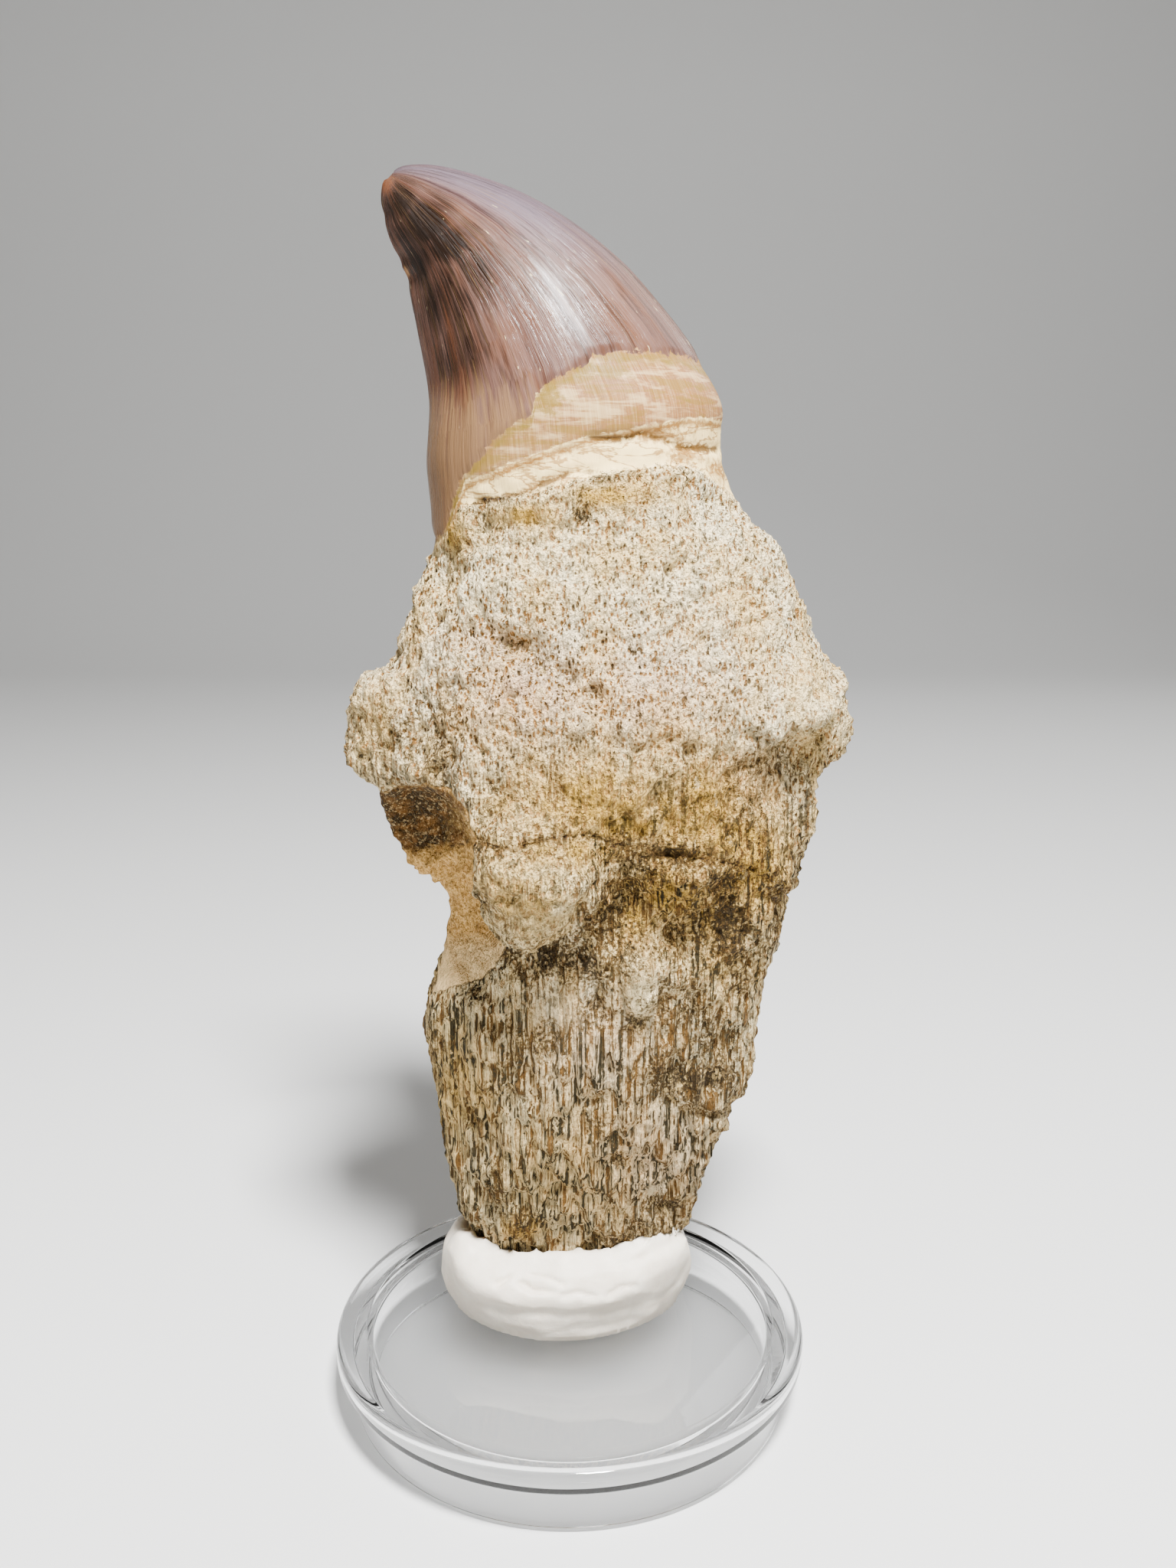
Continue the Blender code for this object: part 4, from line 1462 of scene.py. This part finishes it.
@dataclass
class DisplayBase:
    """The clear stepped cap, turned from its own profile."""

    axis: Vector
    finish: ClearPlasticFinish = ClearPlasticFinish()
    flange_radius: float = 25.0
    skirt_radius: float = 23.1
    skirt_wall: float = 1.5
    window_radius: float = 21.2
    rim_radius: float = 21.8
    height: float = 7.8
    flange: float = 2.3
    window_height: float = 7.2
    window_thickness: float = 1.8
    steps: int = 160
    arc_steps: int = 5
    merge_gap: float = 0.02
    sharp_over: float = 35.0

    def profile(self) -> list[tuple[float, float, float]]:
        """The corners of the half section, each with the radius that rounds it.

        Returns:
            Radius from the axis, height and rounding of each corner.
        """
        inner = self.skirt_radius - self.skirt_wall
        under = self.window_height - self.window_thickness
        step = self.height - self.flange
        return [
            (0.0, self.window_height, 0.0),
            (self.window_radius, self.window_height, 0.25),
            (self.rim_radius, self.height, 0.3),
            (self.flange_radius, self.height, 0.95),
            (self.flange_radius, step, 0.35),
            (self.skirt_radius, step, 0.25),
            (self.skirt_radius, 0.0, 0.35),
            (inner, 0.0, 0.3),
            (inner, under, 0.5),
            (0.0, under, 0.0),
        ]

    def rounded(self) -> list[Point]:
        """The half section with its corners rounded.

        Returns:
            Radius and height of each point.
        """
        corners = self.profile()
        points: list[Point] = [corners[0][:2]]
        for before, here, after in zip(corners, corners[1:], corners[2:]):
            corner = Vector(here[:2])
            one = (Vector(before[:2]) - corner).normalized()
            two = (Vector(after[:2]) - corner).normalized()
            half = one.angle(two) / 2
            reach = here[2] / math.tan(half)
            centre = corner + (one + two).normalized() * (here[2] / math.sin(half))
            start, end = corner + one * reach - centre, corner + two * reach - centre
            turn = start.angle_signed(end)
            for i in range(self.arc_steps + 1):
                points.append(tuple(centre + Matrix.Rotation(-turn * i / self.arc_steps, 2) @ start))
        points.append(corners[-1][:2])
        return points

    def build(self) -> bpy.types.Object:
        """Draws the half section and spins it round the base's axis.

        Returns:
            The piece.
        """
        outline = [Vector((radius, 0.0, height)) * MM + self.axis for radius, height in self.rounded()]
        Tools.deselect()
        bpy.ops.mesh.primitive_plane_add(size=MM, location=outline[0])
        piece = bpy.context.active_object
        piece.name = "clear_base"
        bpy.ops.object.transform_apply(location=True)
        bpy.ops.object.mode_set(mode="EDIT")
        bpy.ops.mesh.select_all(action="SELECT")
        bpy.ops.mesh.merge(type="CENTER")
        for before, here in zip(outline, outline[1:]):
            bpy.ops.mesh.extrude_region_move(TRANSFORM_OT_translate={"value": here - before})
        bpy.ops.mesh.select_all(action="SELECT")
        turn = {"angle": math.tau, "center": self.axis, "axis": (0.0, 0.0, 1.0)}
        bpy.ops.mesh.spin(steps=self.steps, use_auto_merge=True, **turn)
        bpy.ops.mesh.select_all(action="SELECT")
        bpy.ops.mesh.remove_doubles(threshold=self.merge_gap * MM)
        bpy.ops.mesh.normals_make_consistent(inside=False)
        bpy.ops.object.mode_set(mode="OBJECT")
        bpy.ops.object.shade_smooth_by_angle(angle=math.radians(self.sharp_over))
        piece.data.materials.append(self.finish.build())
        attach(piece, "root")
        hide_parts("display_base")
        return piece


@dataclass(frozen=True)
class Lamp:
    """A soft square lamp: its place and its side in metres, and its power in watts."""

    name: str
    place: tuple[float, float, float]
    size: float
    power: float


@dataclass
class Studio:
    """A pale floor that sweeps up into the backdrop, under soft lamps. Sizes are in metres."""

    axis: Vector
    view: Viewpoint
    floor_colour: Colour = (0.74, 0.74, 0.73)
    floor_roughness: float = 0.7
    floor_size: float = 3.0
    floor_forward: float = 0.6
    wall_height: float = 1.6
    wall_bend: float = 0.35
    aim_height: float = 0.06
    room_colour: Colour = (1.0, 0.98, 0.95)
    room_light: float = 0.2
    lamps: tuple[Lamp, ...] = (
        Lamp("key", (0.05, -0.17, 0.37), 0.07, 7.4),
        Lamp("fill", (-0.50, -0.30, 0.20), 0.45, 0.5),
        Lamp("back", (0.30, 0.35, 0.40), 0.30, 0.8),
    )

    def build_floor(self) -> None:
        """Adds the floor, whose far edge is pulled up and rounded into a wall."""
        Tools.deselect()
        bpy.ops.mesh.primitive_plane_add(size=self.floor_size, location=(0.0, -self.floor_forward, 0.0))
        floor = bpy.context.active_object
        floor.name = "floor"
        bpy.ops.object.transform_apply(location=True, rotation=False, scale=False)
        mesh = floor.data
        mesh.polygons[0].select = False
        for vertex in mesh.vertices:
            vertex.select = vertex.co.y > 0
        for edge in mesh.edges:
            edge.select = all(mesh.vertices[i].select for i in edge.vertices)
        bpy.ops.object.mode_set(mode="EDIT")
        bpy.ops.mesh.select_mode(type="EDGE")
        rise = {"value": (0.0, 0.0, self.wall_height)}
        bpy.ops.mesh.extrude_region_move(TRANSFORM_OT_translate=rise)
        bpy.ops.object.mode_set(mode="OBJECT")
        Tools.apply(floor, "BEVEL", width=self.wall_bend, segments=16, limit_method="ANGLE")
        Tools.smooth(floor)
        graph = Graph("pale_floor")
        graph.set(Base_Color=self.floor_colour, Roughness=self.floor_roughness)
        floor.data.materials.append(graph.material)

    def build_lamps(self) -> None:
        """Adds the soft lamps, each turned to the tooth, and the light of the room."""
        target = self.axis + Vector((0.0, 0.0, self.aim_height))
        for lamp in self.lamps:
            data = bpy.data.lights.new(lamp.name, "AREA")
            data.energy, data.size = lamp.power, lamp.size
            light = bpy.data.objects.new(lamp.name, data)
            light.location = lamp.place
            light.rotation_euler = (target - light.location).to_track_quat("-Z", "Y").to_euler()
            bpy.context.scene.collection.objects.link(light)
        world = bpy.data.worlds.new("room")
        world.use_nodes = True
        background = world.node_tree.nodes["Background"]
        background.inputs["Color"].default_value = (*self.room_colour, 1.0)
        background.inputs["Strength"].default_value = self.room_light
        bpy.context.scene.world = world

    def build(self) -> None:
        """Adds the camera, the floor and the lamps."""
        self.view.build(self.axis)
        self.build_floor()
        self.build_lamps()


def main() -> None:
    """Builds and dresses the pieces in order, and reports each."""
    logging.basicConfig(level=logging.INFO, format="%(name)s: %(message)s")
    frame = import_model()
    nodes = frame["nodes"]
    low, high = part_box("display_base")
    axis = Vector(((low[0] + high[0]) / 2, (low[1] + high[1]) / 2, 0.0))
    view = Viewpoint()
    tooth = Tooth(axis, view).build(nodes["tooth"])
    pieces = [tooth, Putty(axis, view).build(nodes["putty"], tooth), DisplayBase(axis).build()]
    for piece in pieces:
        triangles = sum(len(face.vertices) - 2 for face in piece.data.polygons)
        LOG.info("%s has %d triangles", piece.name, triangles)
    Studio(axis, view).build()


if __name__ == "__main__":
    main()
